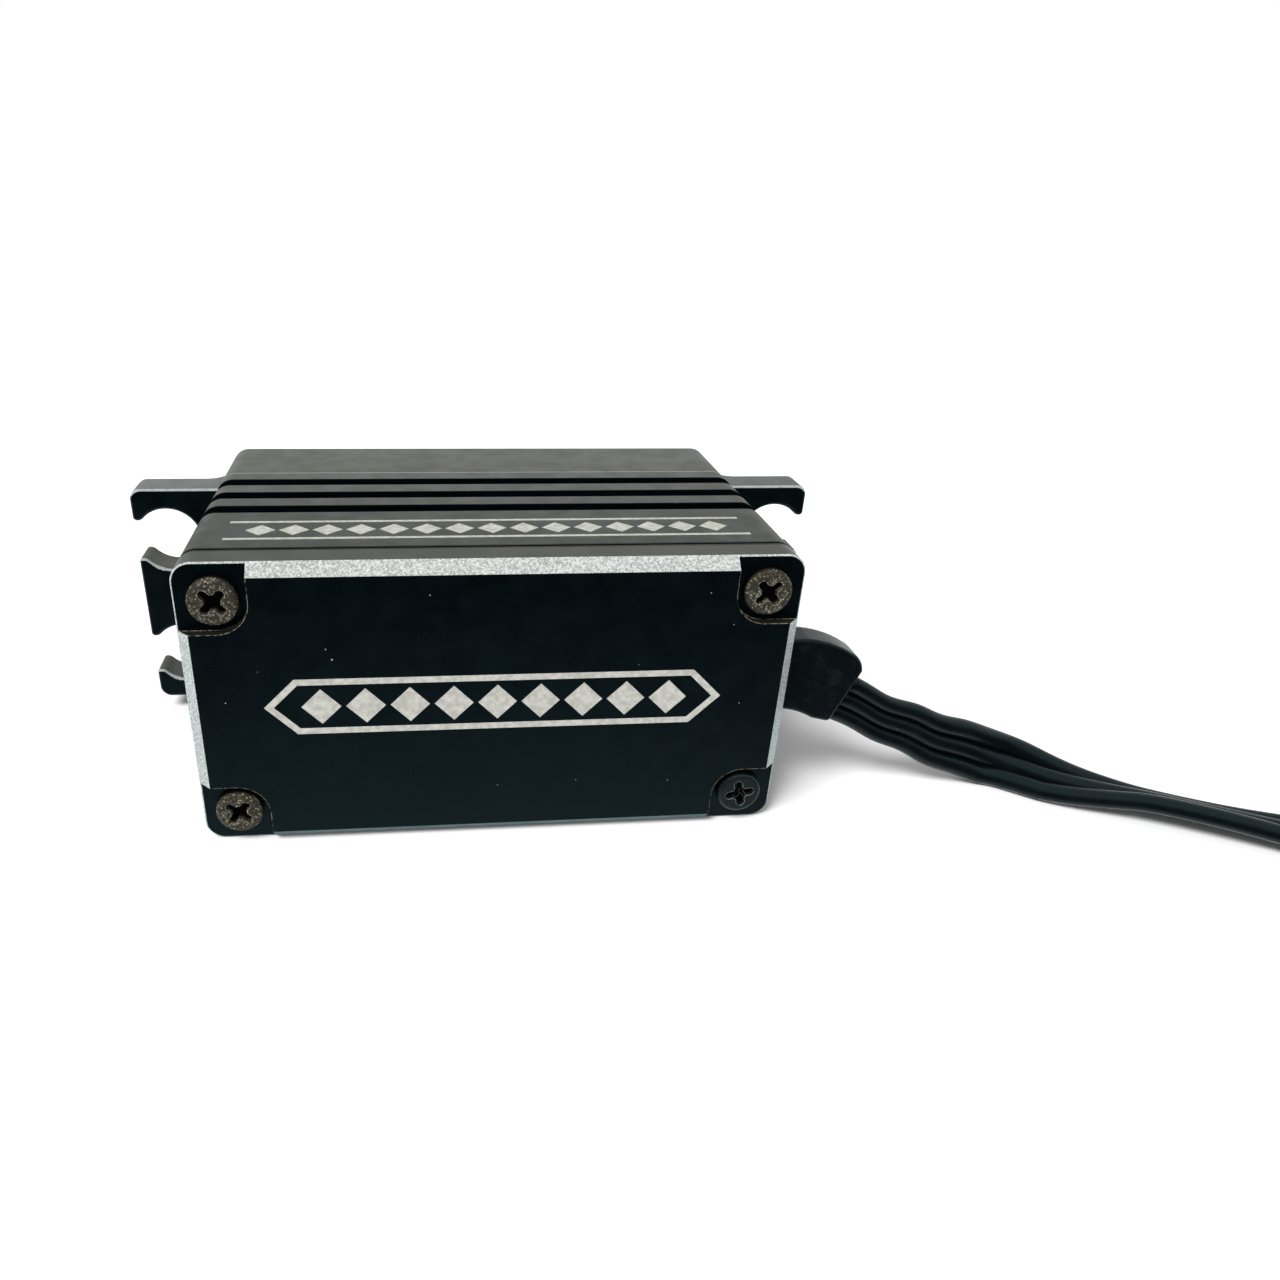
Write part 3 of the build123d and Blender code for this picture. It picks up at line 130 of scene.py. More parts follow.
def lead_stops():
    """Control points of the whole lead, each with its turn from upright to flat."""
    stops = [(place(x, depth, height), flat) for x, depth, height, flat in LEAD_ROUTE]
    steps = round(COIL_TURN / COIL_STEP)
    for step in range(1, steps):
        share = step / steps
        radius = COIL_FIRST_RADIUS + (COIL_LAST_RADIUS - COIL_FIRST_RADIUS) * share
        x, y = coil_point(COIL_START + COIL_TURN * share, radius)
        stops.append((Vector((x, y, LEAD_ON_EDGE)), 0.0))
    middle_x, middle_y = coil_point(PLUG_ANGLE, PLUG_DISTANCE - CURL_RADIUS, -PLUG_LENGTH / 2)
    corner = CURL_RADIUS / math.cos(math.radians(CURL_STEP / 2))
    for step, flat in ((2.5, 0.15), (1.5, 0.6), (0.5, 1.0)):
        turn = math.radians(PLUG_ANGLE - step * CURL_STEP)
        height = LEAD_ON_EDGE + (PLUG_HEIGHT / 2 - LEAD_ON_EDGE) * flat
        where = Vector((middle_x + corner * math.cos(turn), middle_y + corner * math.sin(turn), height))
        stops.append((where, flat))
    x, y = coil_point(PLUG_ANGLE, PLUG_DISTANCE, CURL_HALF_RUN - PLUG_LENGTH / 2)
    stops.append((Vector((x, y, PLUG_HEIGHT / 2)), 1.0))
    return stops


def smooth_line(controls):
    """Points along a smooth spline with these control points."""
    curve = bpy.data.curves.new("route", "CURVE")
    curve.dimensions = "3D"
    spline = curve.splines.new("NURBS")
    spline.points.add(len(controls) - 1)
    for control, where in zip(spline.points, controls):
        control.co = (*where, 1)
    spline.order_u = 3
    spline.use_endpoint_u = True
    spline.resolution_u = 10
    holder = bpy.data.objects.new("route", curve)
    mesh = bpy.data.meshes.new_from_object(holder)
    line = [vertex.co.copy() for vertex in mesh.vertices]
    bpy.data.objects.remove(holder)
    bpy.data.meshes.remove(mesh)
    return line


def tube_rings(built, line, across, over, radii):
    """Adds one closed tube along a line, with a ring of points and a radius at each stop."""
    rings = []
    for middle, side, up, radius in zip(line, across, over, radii):
        ring = []
        for corner in range(WIRE_SIDES):
            angle = 2 * math.pi * corner / WIRE_SIDES
            ring.append(built.verts.new(middle + radius * (side * math.cos(angle) + up * math.sin(angle))))
        rings.append(ring)
    for before, after in zip(rings, rings[1:]):
        for corner in range(WIRE_SIDES):
            following = (corner + 1) % WIRE_SIDES
            built.faces.new((before[corner], before[following], after[following], after[corner]))
    built.faces.new(list(reversed(rings[0])))
    built.faces.new(rings[-1])


def piece(name, built, body):
    """Makes an object of a finished bmesh, riding on a body."""
    mesh = bpy.data.meshes.new(name)
    bmesh.ops.recalc_face_normals(built, faces=built.faces)
    for face in built.faces:
        face.smooth = True
    built.to_mesh(mesh)
    built.free()
    made = bpy.data.objects.new(name, mesh)
    bpy.context.scene.collection.objects.link(made)
    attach(made, body)
    return made


def hump(distance, amount, middle, reach):
    """A smooth hump along the lead."""
    return amount * math.exp(-((distance - middle) / reach) ** 2)


def add_lead():
    """Three wires along one smooth line, turned from upright to flat and back on the way."""
    stops = lead_stops()
    line = smooth_line([where for where, _ in stops])
    turns = [turn.x for turn in smooth_line([(flat, 0, 0) for _, flat in stops])]
    across, over, travelled = [], [], [0.0]
    for before, after in zip(line, line[1:]):
        travelled.append(travelled[-1] + (after - before).length)
    for index, flat in enumerate(turns):
        before = line[max(index - 1, 0)]
        after = line[min(index + 1, len(line) - 1)]
        along = (after - before).normalized()
        level = Vector((0, 0, 1)).cross(along).normalized()
        upright = along.cross(level)
        angle = flat * math.pi / 2
        width = upright * math.cos(angle) + level * math.sin(angle)
        across.append(width)
        over.append(along.cross(width))
    # the ribbon spreads a little and waves on its way down to the floor, and stays above it
    built = bmesh.new()
    for wire in (-1, 0, 1):
        middles, radii = [], []
        for where, width, up, distance in zip(line, across, over, travelled):
            swell = 1 + hump(distance, *SPREAD) - hump(distance, *PINCH)
            sway = hump(distance, *SWAY) * math.sin(distance / SWAY_LENGTH + SWAY_LAG * wire)
            lift = hump(distance, *LIFT) * math.sin(distance / LIFT_LENGTH + LIFT_LAG * wire)
            middle = where + width * (wire * WIRE_PITCH * swell + sway) + up * lift
            middle.z = max(middle.z, WIRE_RADIUS * swell)
            middles.append(middle)
            radii.append(WIRE_RADIUS * swell)
        tube_rings(built, middles, across, over, radii)
    lead = piece("three_wire_lead", built, "case")
    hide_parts("servo_lead", "lead_coil", "servo_lead_end")
    return lead


lead = add_lead()


# ---- materials ----

# places on the servo in millimetres: x, depth behind the cover's face, and height
HALF_CASE = 20.25
MIDDLE_HEIGHT = 10.35
SEAM_FRONT, SEAM_BACK = 2.62, 3.16
PARTING_FRONT, PARTING_BACK = 19.42, 19.57
# the ornament on the cover: its middle, half its height, half its length and the width of its line
ORNAMENT_MIDDLE = 10.75
ORNAMENT_HALF_HEIGHT, ORNAMENT_HALF_LENGTH, ORNAMENT_LINE = 2.05, 15.3, 0.45
# the band on the upper side, in the same way, with its middle as a depth
BAND_MIDDLE = 6.4
BAND_HALF_WIDTH, BAND_HALF_LENGTH, BAND_LINE = 1.8, 17.6, 0.35


class Value:
    """A number or vector inside a material's node tree, written as arithmetic."""

    def __init__(self, finish, socket):
        self.finish = finish
        self.socket = socket

    def __add__(self, other):
        return self.finish.math("ADD", self, other)

    def __sub__(self, other):
        return self.finish.math("SUBTRACT", self, other)

    def __mul__(self, other):
        return self.finish.math("MULTIPLY", self, other)

    def __lt__(self, other):
        return self.finish.math("LESS_THAN", self, other)

    def __gt__(self, other):
        return self.finish.math("GREATER_THAN", self, other)

    def abs(self):
        return self.finish.math("ABSOLUTE", self)

    def either(self, other):
        """The larger of two values, which joins two masks."""
        return self.finish.math("MAXIMUM", self, other)

    def without(self, other):
        """This mask outside another one."""
        return self * self.finish.math("SUBTRACT", 1.0, other)

    def ramp(self, low, high, start=0.0, end=1.0):
        """Rises smoothly from start to end as the value goes from low to high."""
        node = self.finish.node("ShaderNodeMapRange", interpolation_type="SMOOTHSTEP")
        for index, number in enumerate((self, low, high, start, end)):
            self.finish.feed(node.inputs[index], number)
        return Value(self.finish, node.outputs["Result"])


class Finish:
    """One material, with its Principled shader and short calls for the nodes it is made of."""

    def __init__(self, name, **numbers):
        self.material = bpy.data.materials.new(name)
        self.material.use_nodes = True
        self.tree = self.material.node_tree
        self.shader = self.tree.nodes["Principled BSDF"]
        coordinates = self.node("ShaderNodeTexCoord")
        self.position = coordinates.outputs["Object"]
        self.facing = coordinates.outputs["Normal"]
        for socket, number in numbers.items():
            self.set(socket, number)

    def node(self, kind, **settings):
        made = self.tree.nodes.new(kind)
        for setting, choice in settings.items():
            setattr(made, setting, choice)
        return made

    def feed(self, socket, value):
        if isinstance(value, Value):
            self.tree.links.new(value.socket, socket)
        elif isinstance(value, bpy.types.NodeSocket):
            self.tree.links.new(value, socket)
        elif isinstance(value, (tuple, list)) and len(socket.default_value) == 4:
            socket.default_value = (*value, 1.0)
        else:
            socket.default_value = value

    def set(self, socket, value):
        """Gives one of the shader's inputs a number, a colour or a value; its name has _ for each space."""
        self.feed(self.shader.inputs[socket.replace("_", " ")], value)

    def math(self, operation, *values):
        node = self.node("ShaderNodeMath", operation=operation)
        for index, value in enumerate(values):
            self.feed(node.inputs[index], value)
        return Value(self, node.outputs[0])

    def split(self, vector):
        node = self.node("ShaderNodeSeparateXYZ")
        self.feed(node.inputs[0], vector)
        return [Value(self, node.outputs[axis]) for axis in range(3)]

    def place(self):
        """x, depth behind the cover's face and height, in millimetres."""
        x, y, z = self.split(self.position)
        return x * 1000, (y - FRONT) * 1000, z * 1000

    def stretched(self, stretch=(1, 1, 1)):
        """Object coordinates in millimetres, multiplied along each axis."""
        node = self.node("ShaderNodeMapping")
        self.feed(node.inputs["Vector"], self.position)
        node.inputs["Scale"].default_value = [1000 * factor for factor in stretch]
        return node.outputs[0]

    def noise(self, per_mm, detail=2.0, rough=0.5, stretch=(1, 1, 1)):
        """Smooth noise from 0 to 1, with that many bumps to a millimetre."""
        node = self.node("ShaderNodeTexNoise")
        self.feed(node.inputs["Vector"], self.stretched(stretch))
        for socket, number in (("Scale", per_mm), ("Detail", detail), ("Roughness", rough)):
            node.inputs[socket].default_value = number
        return Value(self, node.outputs["Fac"])

    def specks(self, per_mm, size, share):
        """A mask of small round specks: one in that share of the cells, with its radius as part of a cell."""
        node = self.node("ShaderNodeTexVoronoi")
        self.feed(node.inputs["Vector"], self.stretched())
        node.inputs["Scale"].default_value = per_mm
        chance = self.split(node.outputs["Color"])[0]
        distance = Value(self, node.outputs["Distance"])
        return distance.ramp(size, size * 0.4) * (chance < share)

    def cells(self, per_mm, feature="F1"):
        node = self.node("ShaderNodeTexVoronoi", feature=feature)
        self.feed(node.inputs["Vector"], self.stretched())
        node.inputs["Scale"].default_value = per_mm
        return Value(self, node.outputs["Distance"])

    def mix(self, factor, first, second):
        """A colour between two colours."""
        node = self.node("ShaderNodeMix", data_type="RGBA")
        self.feed(node.inputs["Factor"], factor)
        self.feed(node.inputs[6], first)
        self.feed(node.inputs[7], second)
        return node.outputs[2]

    def edges(self, radius):
        """A mask of the sharp edges, as wide as the radius in millimetres."""
        bevel = self.node("ShaderNodeBevel", samples=6)
        bevel.inputs["Radius"].default_value = radius * MM
        geometry = self.node("ShaderNodeNewGeometry")
        dot = self.node("ShaderNodeVectorMath", operation="DOT_PRODUCT")
        self.feed(dot.inputs[0], bevel.outputs[0])
        self.feed(dot.inputs[1], geometry.outputs["Normal"])
        return (self.math("SUBTRACT", 1.0, Value(self, dot.outputs["Value"]))).ramp(0.03, 0.2)

    def relief(self, height, depth, round_edges=0.0):
        """Bump of that depth in millimetres, on edges rounded by that radius in millimetres."""
        bump = self.node("ShaderNodeBump")
        bump.inputs["Distance"].default_value = depth * MM
        self.feed(bump.inputs["Height"], height)
        if round_edges:
            bevel = self.node("ShaderNodeBevel", samples=6)
            bevel.inputs["Radius"].default_value = round_edges * MM
            self.feed(bump.inputs["Normal"], bevel.outputs[0])
        self.set("Normal", bump.outputs[0])


def diamonds(finish, along, across, pitch, count, size):
    """A mask of an odd number of diamonds in a row, centred on zero: all the lengths are in millimetres."""
    from_middle = finish.math("PINGPONG", along, pitch / 2)
    inside = (from_middle + across.abs()) < size
    return inside * (along.abs() < count * pitch / 2)


def anodised(name):
    """Black anodised aluminium, bead-blasted: blue-black on the walls, and dust on top with a painted sheen
    that grows towards the back.
    """
    finish = Finish(name)
    grain = finish.noise(9, detail=3, rough=0.7)
    cloud = finish.noise(0.12, detail=2, rough=0.5)
    _, facing_y, facing_z = finish.split(finish.facing)
    facing_up = facing_z.ramp(0.3, 0.9)
    # the front faces shine bluer than the rest
    finish.set("Specular_Tint", finish.mix(facing_y.ramp(-0.3, -0.7), (0.60, 0.74, 0.69), (0.42, 0.86, 1.0)))
    blue_black = finish.mix(cloud, (0.0001, 0.0004, 0.0007), (0.0004, 0.0015, 0.0024))
    # dust on the tops, with a painted sheen: the tops are painted lighter towards the back, standing in for
    # the brighter reflection at grazing angles
    near = finish.mix(grain, (0.001, 0.001, 0.001), (0.022, 0.021, 0.016))
    back_dust_and_sheen = finish.mix(grain, (0.010, 0.010, 0.008), (0.072, 0.070, 0.060))
    dust_and_sheen = finish.mix(finish.place()[1].ramp(4, 24), near, back_dust_and_sheen)
    colour = finish.mix(facing_up, blue_black, dust_and_sheen)
    specks = finish.specks(0.9, 0.05, 0.10).either(finish.specks(0.45, 0.035, 0.3))
    return finish, grain, finish.mix(specks * 0.8, colour, (0.5, 0.5, 0.48))


def cover_finish():
    finish, grain, colour = anodised("cover_aluminium")
    x, depth, height = finish.place()
    facing_y = finish.split(finish.facing)[1]
    chamfer = (facing_y < -0.5) * (facing_y > -0.9)
    mottle = finish.noise(6.0, detail=6, rough=0.85).ramp(0.42, 0.58)
    silver_and_shade = finish.mix(mottle, (0.33, 0.35, 0.34), (0.78, 0.80, 0.78))
    # painted shade: the chamfer's silver darkens towards the floor, standing in for the shadowed floor it
    # would reflect
    silver_and_shade = finish.mix(height.ramp(1.3, 0.9), silver_and_shade, (0.07, 0.075, 0.075))
    # an ornament etched through the black: a pointed bar with a row of diamonds in it
    up = height - ORNAMENT_MIDDLE
    front = (facing_y < -0.9) * (depth < 0.1)
    reach = x.abs() + up.abs()
    frame_line = (up.abs() < ORNAMENT_HALF_HEIGHT) * (reach < ORNAMENT_HALF_LENGTH)
    inner_length = ORNAMENT_HALF_LENGTH - math.sqrt(2) * ORNAMENT_LINE
    frame_hole = (up.abs() < ORNAMENT_HALF_HEIGHT - ORNAMENT_LINE) * (reach < inner_length)
    etched = frame_line.without(frame_hole).either(diamonds(finish, x, up, 2.9, 9, 1.3)) * front
    etch_grain = finish.noise(2.5, detail=4).ramp(0.3, 0.7)
    etch_colour = finish.mix(etch_grain, (0.47, 0.46, 0.42), (0.64, 0.63, 0.58))
    # the rims of the corner recesses are worn and stained; elsewhere only a few spots are
    corner = (x.abs() > 13.0) * ((height - MIDDLE_HEIGHT).abs() > 4.0)
    ragged = finish.noise(2.6, detail=5, rough=0.8)
    rim = finish.edges(0.10) * corner * ragged.ramp(0.44, 0.54)
    spots = finish.edges(0.08) * ragged.ramp(0.60, 0.68)
    colour = finish.mix(rim.either(spots).without(chamfer), colour, (0.42, 0.36, 0.26))
    colour = finish.mix(etched, colour, etch_colour)
    # painted shade: the cover's edge at the seam beside the middle case is painted near-black, with a weaker
    # shine, to stand in for shade in the gap
    seam_shade = depth.ramp(SEAM_FRONT - 0.1, SEAM_FRONT)
    colour = finish.mix(seam_shade, finish.mix(chamfer, colour, silver_and_shade), (0.001, 0.001, 0.001))
    finish.set("Base_Color", colour)
    finish.set("Specular_IOR_Level", seam_shade.ramp(0, 1, 0.5, 0.12))
    finish.set("Metallic", (chamfer * 0.55).either(etched * 0.25))
    finish.set("Roughness", finish.noise(0.6, detail=3).ramp(0.3, 0.7, 0.26, 0.34) + chamfer * 0.12)
    finish.relief(grain, 0.009, round_edges=0.06)
    return finish.material


def case_finish():
    finish, grain, colour = anodised("case_aluminium")
    x, depth, height = finish.place()
    _, facing_y, facing_z = finish.split(finish.facing)
    # a plain etched band on the upper side: a row of small diamonds between two lines
    across = depth - BAND_MIDDLE
    band = (x.abs() < BAND_HALF_LENGTH) * (facing_z > 0.9)
    lines = (across.abs() < BAND_HALF_WIDTH).without(across.abs() < BAND_HALF_WIDTH - BAND_LINE)
    etched = lines.either(diamonds(finish, x, across, 2.2, 15, 1.0)) * band
    etch_grain = finish.noise(2.5, detail=4).ramp(0.3, 0.7)
    etch_colour = finish.mix(etch_grain, (0.38, 0.37, 0.33), (0.54, 0.53, 0.48))
    ears = x.abs() > HALF_CASE + 0.05
    walls = x.abs() < HALF_CASE - 0.05
    parting = (depth > PARTING_FRONT) * (depth < PARTING_BACK) * (facing_z > 0.5) * walls
    ragged = finish.noise(2.4, detail=5, rough=0.8)
    spots = finish.edges(0.09) * ragged.ramp(0.60, 0.70) * (x.abs() < HALF_CASE - 0.25)
    wear = spots.either(parting * ragged.ramp(0.34, 0.50))
    # painted light: the ear tops are painted paler, more so on the left ear, and their rounded front edges
    # carry a painted highlight
    ear_top_light = finish.mix(x.ramp(-20, 20), (0.095, 0.100, 0.097), (0.055, 0.060, 0.060))
    tops = ears * (facing_z > 0.92) * (height > 18)
    colour = finish.mix(tops * grain.ramp(0.3, 0.6, 0.5, 1.0), colour, ear_top_light)
    rounded = ears * (facing_z > 0.25) * (facing_z < 0.9) * (facing_y < -0.3)
    colour = finish.mix(rounded * ragged.ramp(0.3, 0.5, 0.5, 1.0), colour, (0.34, 0.36, 0.36))
    colour = finish.mix(wear, colour, (0.42, 0.44, 0.44))
    colour = finish.mix(etched, colour, etch_colour)
    # painted shade: the case's edge at the seam beside the cover is painted near-black, with a weaker shine,
    # to stand in for shade in the gap
    seam_shade = depth.ramp(SEAM_BACK + 0.1, SEAM_BACK)
    finish.set("Base_Color", finish.mix(seam_shade, colour, (0.001, 0.001, 0.001)))
    finish.set("Specular_IOR_Level", seam_shade.ramp(0, 1, 0.5, 0.12))
    finish.set("Metallic", (wear * 0.8).either(etched * 0.25))
    finish.set("Roughness", finish.noise(0.6, detail=3).ramp(0.3, 0.7, 0.34, 0.44))
    finish.relief(grain, 0.011, round_edges=0.10)
    return finish.material


def corroded_finish():
    """Steel under a granular crust of corrosion: brown, olive and grey, with golden grains."""
    finish = Finish("corroded_screw_steel", Specular_IOR_Level=0.4)
    crust = finish.noise(3.0, detail=6, rough=0.8)
    grains = finish.cells(5.5)
    stain = finish.noise(0.9, detail=3)
    brown = finish.mix(crust.ramp(0.40, 0.58), (0.011, 0.009, 0.006), (0.095, 0.081, 0.050))
    colour = finish.mix(stain.ramp(0.46, 0.60), brown, (0.100, 0.103, 0.080))
    colour = finish.mix(grains.ramp(0.24, 0.12) * crust.ramp(0.42, 0.5), colour, (0.55, 0.43, 0.24))
    colour = finish.mix(grains.ramp(0.42, 0.55), colour, (0.026, 0.023, 0.016))
    depth = finish.place()[1]
    rim = finish.edges(0.10) * crust.ramp(0.40, 0.52)
    colour = finish.mix(rim * depth.ramp(0.30, 0.20), colour, (0.40, 0.39, 0.34))
    # painted shade: the deeper parts of the head, in its cross and down in the cover's recess, are painted
    # near-black
    finish.set("Base_Color", finish.mix(depth.ramp(0.26, 0.50), colour, (0.0015, 0.0015, 0.0015)))
    finish.set("Metallic", crust.ramp(0.5, 0.7, 0.0, 0.35))
    finish.set("Roughness", crust.ramp(0.3, 0.7, 0.75, 0.5))
    finish.relief(crust - grains * 0.6, 0.07, round_edges=0.08)
    return finish.material


def black_screw_finish():
    finish = Finish("black_screw_steel", Specular_IOR_Level=0.5, Specular_Tint=(0.6, 0.9, 1.0))
    # painted glints: a pale metallic band along the edges of the head and its cross
    rim = finish.edges(0.10) * finish.noise(3, detail=3).ramp(0.36, 0.52)
    grain = finish.noise(12, detail=2)
    colour = finish.mix(grain, (0.003, 0.004, 0.0045), (0.010, 0.012, 0.013))
    # painted shade: the deeper parts of the head, in its cross and down in the recess, are painted near-black
    colour = finish.mix(finish.place()[1].ramp(0.2, 0.5), colour, (0.001, 0.001, 0.001))
    finish.set("Base_Color", finish.mix(rim, colour, (0.55, 0.57, 0.57)))
    finish.set("Metallic", rim * 0.7)
    finish.set("Roughness", grain.ramp(0.3, 0.7, 0.30, 0.42))
    finish.relief(grain, 0.004, round_edges=0.05)
    return finish.material


def soft_black(name, shine, scale, mottle=0.0, depth=0.01, gloss=0.5, rim=0.0):
    """Black rubber or plastic with fine grain and faint patches of dust; its pale edges are partly worn and
    partly a painted highlight.
    """
    finish = Finish(name, Specular_IOR_Level=gloss, Specular_Tint=(0.6, 0.9, 1.0))
    grain = finish.noise(scale, detail=4, rough=0.65)
    patch = finish.noise(0.7, detail=5, rough=0.7)
    colour = finish.mix(grain, (0.0012, 0.0022, 0.0030), (0.0035, 0.0060, 0.0070))
    colour = finish.mix(patch.ramp(0.48, 0.75) * mottle, colour, (0.035, 0.042, 0.040))
    colour = finish.mix(finish.specks(1.1, 0.05, 0.12) * 0.6, colour, (0.30, 0.30, 0.29))
    # pale edges, as strong as rim: partly worn, partly a painted highlight along ridges such as the boot's
    colour = finish.mix(finish.edges(0.12) * patch.ramp(0.36, 0.52) * rim, colour, (0.30, 0.31, 0.31))
    finish.set("Base_Color", colour)
    finish.set("Roughness", patch.ramp(0.35, 0.7, shine, shine + 0.16))
    finish.relief(grain, depth)
    return finish.material


def metal(name, dark, light, shine, per_mm=4.0, stretch=(1, 1, 1)):
    """Machined metal with fine tool marks and slight tarnish."""
    finish = Finish(name, Metallic=1.0)
    marks = finish.noise(per_mm, detail=3, stretch=stretch)
    tarnish = finish.noise(0.5, detail=4)
    colour = finish.mix(marks, dark, light)
    finish.set("Base_Color", finish.mix(tarnish.ramp(0.45, 0.8) * 0.5, colour, dark))
    finish.set("Roughness", marks.ramp(0.3, 0.7, shine, shine + 0.15))
    finish.relief(marks, 0.004, round_edges=0.03)
    return finish.material


def plain(name, dark, light, shine, per_mm=5.0):
    """Plastic, ceramic or laminate with a fine grain."""
    finish = Finish(name)
    grain = finish.noise(per_mm, detail=4)
    finish.set("Base_Color", finish.mix(grain, dark, light))
    finish.set("Roughness", grain.ramp(0.3, 0.7, shine, shine + 0.12))
    finish.relief(grain, 0.006, round_edges=0.03)
    return finish.material


def board_finish():
    """Green solder mask over a glass weave, with copper tracks under it."""
    finish = Finish("solder_mask")
    x, _, height = finish.place()
    weave = finish.math("SINE", x * 9).abs() * finish.math("SINE", height * 9).abs()
    tracks = finish.cells(0.55, feature="DISTANCE_TO_EDGE").ramp(0.05, 0.09)
    green = finish.mix(weave, (0.006, 0.055, 0.022), (0.010, 0.075, 0.030))
    finish.set("Base_Color", finish.mix(tracks, (0.03, 0.16, 0.06), green))
    finish.set("Roughness", weave.ramp(0, 1, 0.28, 0.36))
    finish.relief(weave, 0.006)
    return finish.material


def dress(material, *names):
    """Gives CAD nodes a material."""
    for name in names:
        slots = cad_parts[name].material_slots
        if not slots:
            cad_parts[name].data.materials.append(None)
        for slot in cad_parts[name].material_slots:
            slot.material = material


def dress_nodes():
    dress(cover_finish(), "bottom_cover")
    dress(case_finish(), "middle_case", "top_case")
    dress(soft_black("seal_rubber", 0.55, 6), "bottom_seal", "top_seal", "output_seal")
    dress(corroded_finish(), "case_screws")
    dress(black_screw_finish(), "replacement_case_screw")
    boot_rubber = soft_black("boot_rubber", 0.18, 2.5, mottle=0.12, depth=0.02, gloss=0.24, rim=0.9)
    dress(boot_rubber, "strain_relief_boot")
    dress(soft_black("connector_nylon", 0.42, 7, mottle=0.1), "servo_plug")
    dress(soft_black("tie_plastic", 0.38, 5), "lead_tie")
    steel = metal("ground_steel", (0.42, 0.42, 0.43), (0.62, 0.62, 0.63), 0.22)
    dress(
        steel, "motor_screws", "motor_shaft", "middle_gear_pin", "second_gear_pin", "position_sensor_shaft",
        "lower_bearing_outer_ring", "lower_bearing_inner_ring", "upper_bearing_outer_ring",
        "upper_bearing_inner_ring",
    )
    ball_steel = metal("ball_steel", (0.6, 0.6, 0.61), (0.72, 0.72, 0.73), 0.08)
    dress(ball_steel, "lower_bearing_balls", "upper_bearing_balls")
    dress(metal("drawn_steel", (0.36, 0.36, 0.37), (0.52, 0.52, 0.53), 0.3, 1.5, (1, 6, 1)), "motor_can")
    dress(
        metal("gear_steel", (0.30, 0.29, 0.27), (0.50, 0.49, 0.46), 0.3, 3, (1, 5, 1)),
        "motor_pinion", "first_gear", "second_gear", "third_gear", "output_gear",
    )
    bronze = metal("sintered_bronze", (0.30, 0.19, 0.09), (0.52, 0.35, 0.18), 0.4, 8)
    dress(bronze, "motor_front_bush", "motor_rear_bush")
    dress(metal("plated_magnet", (0.22, 0.22, 0.23), (0.38, 0.38, 0.39), 0.35, 6), "motor_magnet")
    copper = metal("copper", (0.45, 0.18, 0.08), (0.75, 0.36, 0.20), 0.3, 6)
    dress(copper, "armature_winding", "commutator", "lead_wire_ends")
    gold = metal("gold_plate", (0.65, 0.45, 0.16), (0.85, 0.66, 0.30), 0.22, 5)
    dress(gold, "motor_brushes", "plug_contacts")
    tin = metal("tinned_plate", (0.5, 0.5, 0.49), (0.7, 0.7, 0.69), 0.28, 5)
    dress(tin, "position_sensor_can", "crystal", "position_sensor_leads")
    nylon = plain("glass_filled_nylon", (0.010, 0.010, 0.011), (0.03, 0.03, 0.032), 0.45)
    dress(nylon, "motor_end_cap", "winding_carrier")
    dress(plain("carbon_film", (0.006, 0.006, 0.006), (0.02, 0.02, 0.02), 0.5), "resistive_track")
    dress(plain("thermal_silicone", (0.30, 0.33, 0.37), (0.40, 0.43, 0.47), 0.6), "thermal_pad")
    epoxy = plain("moulded_epoxy", (0.008, 0.008, 0.009), (0.02, 0.02, 0.022), 0.5, 9)
    dress(epoxy, "microcontroller", "voltage_regulator", "motor_transistors")
    dress(plain("capacitor_ceramic", (0.28, 0.18, 0.10), (0.40, 0.28, 0.17), 0.45), "smoothing_capacitors")
    dress(board_finish(), "control_board")
    lead.data.materials.append(soft_black("wire_insulation", 0.20, 3, mottle=0.03, depth=0.008, gloss=0.27))


dress_nodes()


# ---- floor and light ----

AMBIENT = 0.62


def add_floor():
    mesh = bpy.data.meshes.new("floor")
    reach = 3.0
    corners = [(-reach, -reach, 0), (reach, -reach, 0), (reach, reach, 0), (-reach, reach, 0)]
    mesh.from_pydata(corners, [], [(0, 1, 2, 3)])
    floor = bpy.data.objects.new("floor", mesh)
    floor.location.z = -0.00002
    bpy.context.scene.collection.objects.link(floor)
    material = bpy.data.materials.new("pale_floor")
    material.use_nodes = True
    shader = material.node_tree.nodes["Principled BSDF"]
    shader.inputs["Base Color"].default_value = (0.87, 0.87, 0.87, 1)
    shader.inputs["Roughness"].default_value = 0.9
    shader.inputs["Specular IOR Level"].default_value = 0.0
    mesh.materials.append(material)
    floor.visible_glossy = False


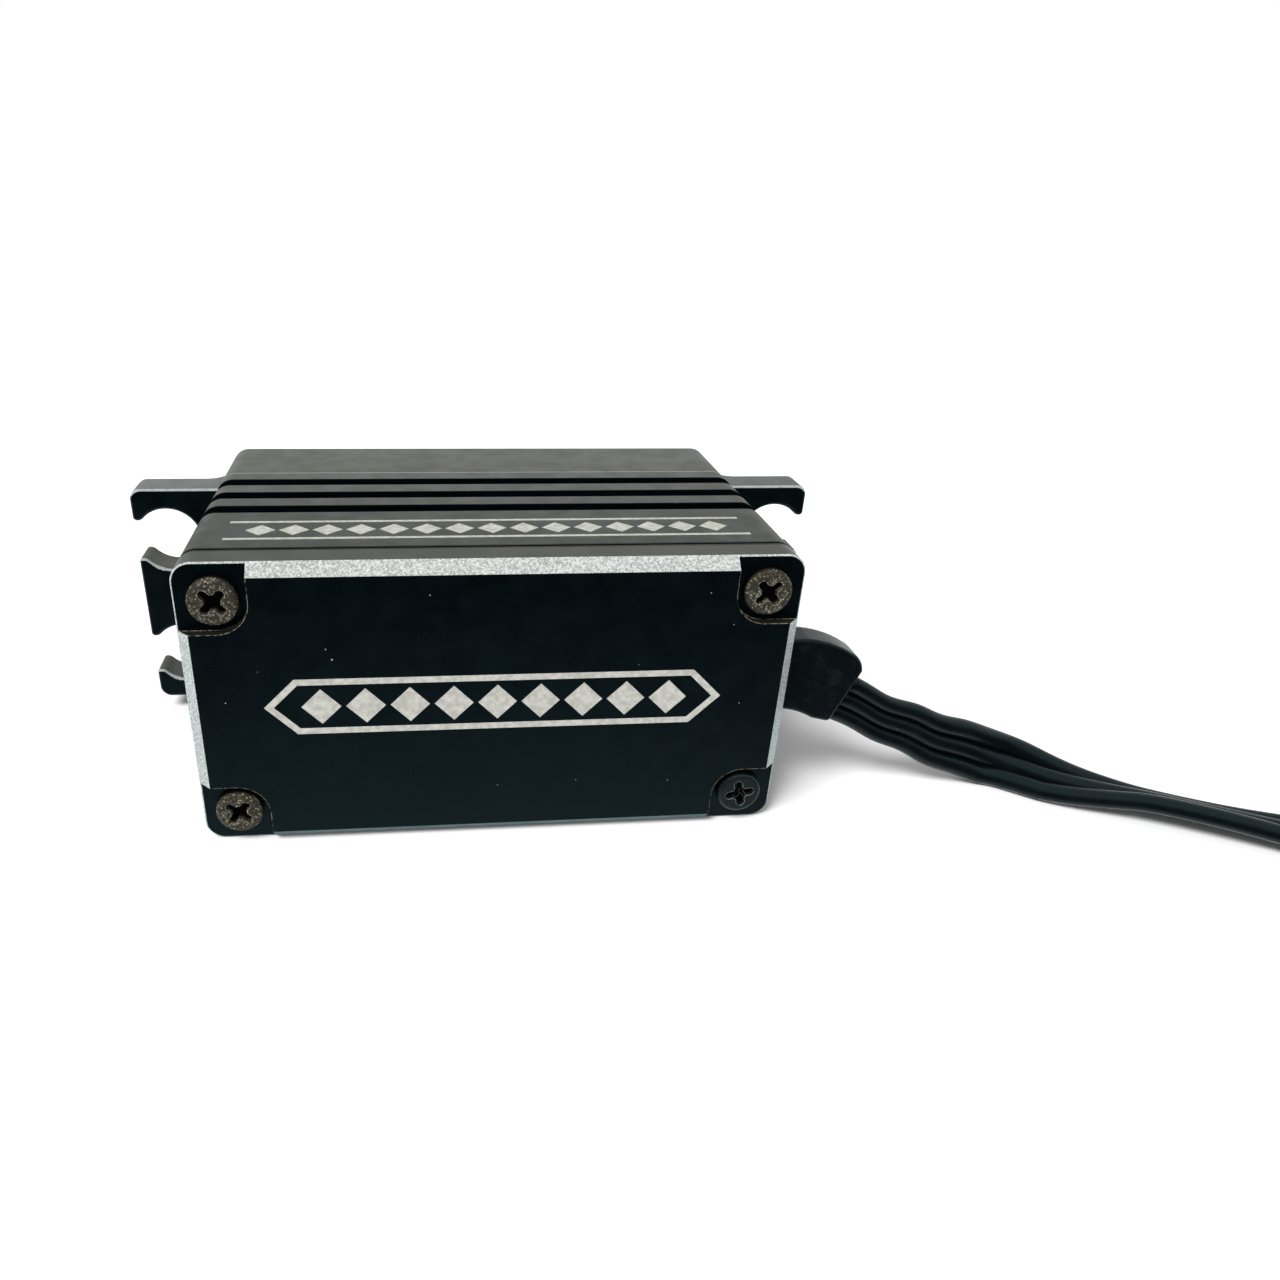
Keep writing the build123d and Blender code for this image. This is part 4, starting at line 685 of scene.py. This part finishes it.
def add_light():
    """One wide, soft light from the front, the left and above; reflections show only the studio."""
    data = bpy.data.lights.new("soft_light", "SUN")
    data.energy = 3.3
    data.angle = math.radians(24)
    light = bpy.data.objects.new("soft_light", data)
    light.rotation_euler = Vector((0.42, 0.42, -0.80)).to_track_quat("-Z", "Y").to_euler()
    light.visible_glossy = False
    bpy.context.scene.collection.objects.link(light)


def add_world():
    """White all round; in reflections the floor is dark towards the front and pale at the sides."""
    world = bpy.data.worlds.new("studio")
    bpy.context.scene.world = world
    world.use_nodes = True
    tree = world.node_tree
    background = tree.nodes["Background"]
    coordinates = tree.nodes.new("ShaderNodeTexCoord")
    split = tree.nodes.new("ShaderNodeSeparateXYZ")
    tree.links.new(coordinates.outputs["Generated"], split.inputs[0])

    def graded(socket, low, high, first, last):
        """A colour that changes steadily as the socket goes from low to high."""
        reach = tree.nodes.new("ShaderNodeMapRange")
        tree.links.new(socket, reach.inputs[0])
        reach.inputs[1].default_value = low
        reach.inputs[2].default_value = high
        mix = tree.nodes.new("ShaderNodeMix")
        mix.data_type = "RGBA"
        tree.links.new(reach.outputs[0], mix.inputs[0])
        for slot, colour in ((6, first), (7, last)):
            if isinstance(colour, bpy.types.NodeSocket):
                tree.links.new(colour, mix.inputs[slot])
            else:
                mix.inputs[slot].default_value = (*colour, 1)
        return mix.outputs[2]

    level, depth = split.outputs["Z"], split.outputs["Y"]
    front = graded(level, -0.80, -0.46, (0.85, 0.85, 0.85), (0.0, 0.0, 0.0))
    front = graded(level, 0.25, 0.85, front, (1.0, 1.0, 1.0))
    side = graded(level, 0.1, 0.75, (0.78, 0.80, 0.78), (0.76, 0.79, 0.76))
    reflected = graded(depth, -0.60, -0.15, front, side)
    path = tree.nodes.new("ShaderNodeLightPath")
    seen = graded(path.outputs["Is Camera Ray"], 0, 1, (AMBIENT, AMBIENT, AMBIENT), (1, 1, 1))
    seen = graded(path.outputs["Is Glossy Ray"], 0, 1, seen, reflected)
    tree.links.new(seen, background.inputs["Color"])


add_floor()
add_light()
add_world()
bpy.context.scene.view_settings.view_transform = "Standard"
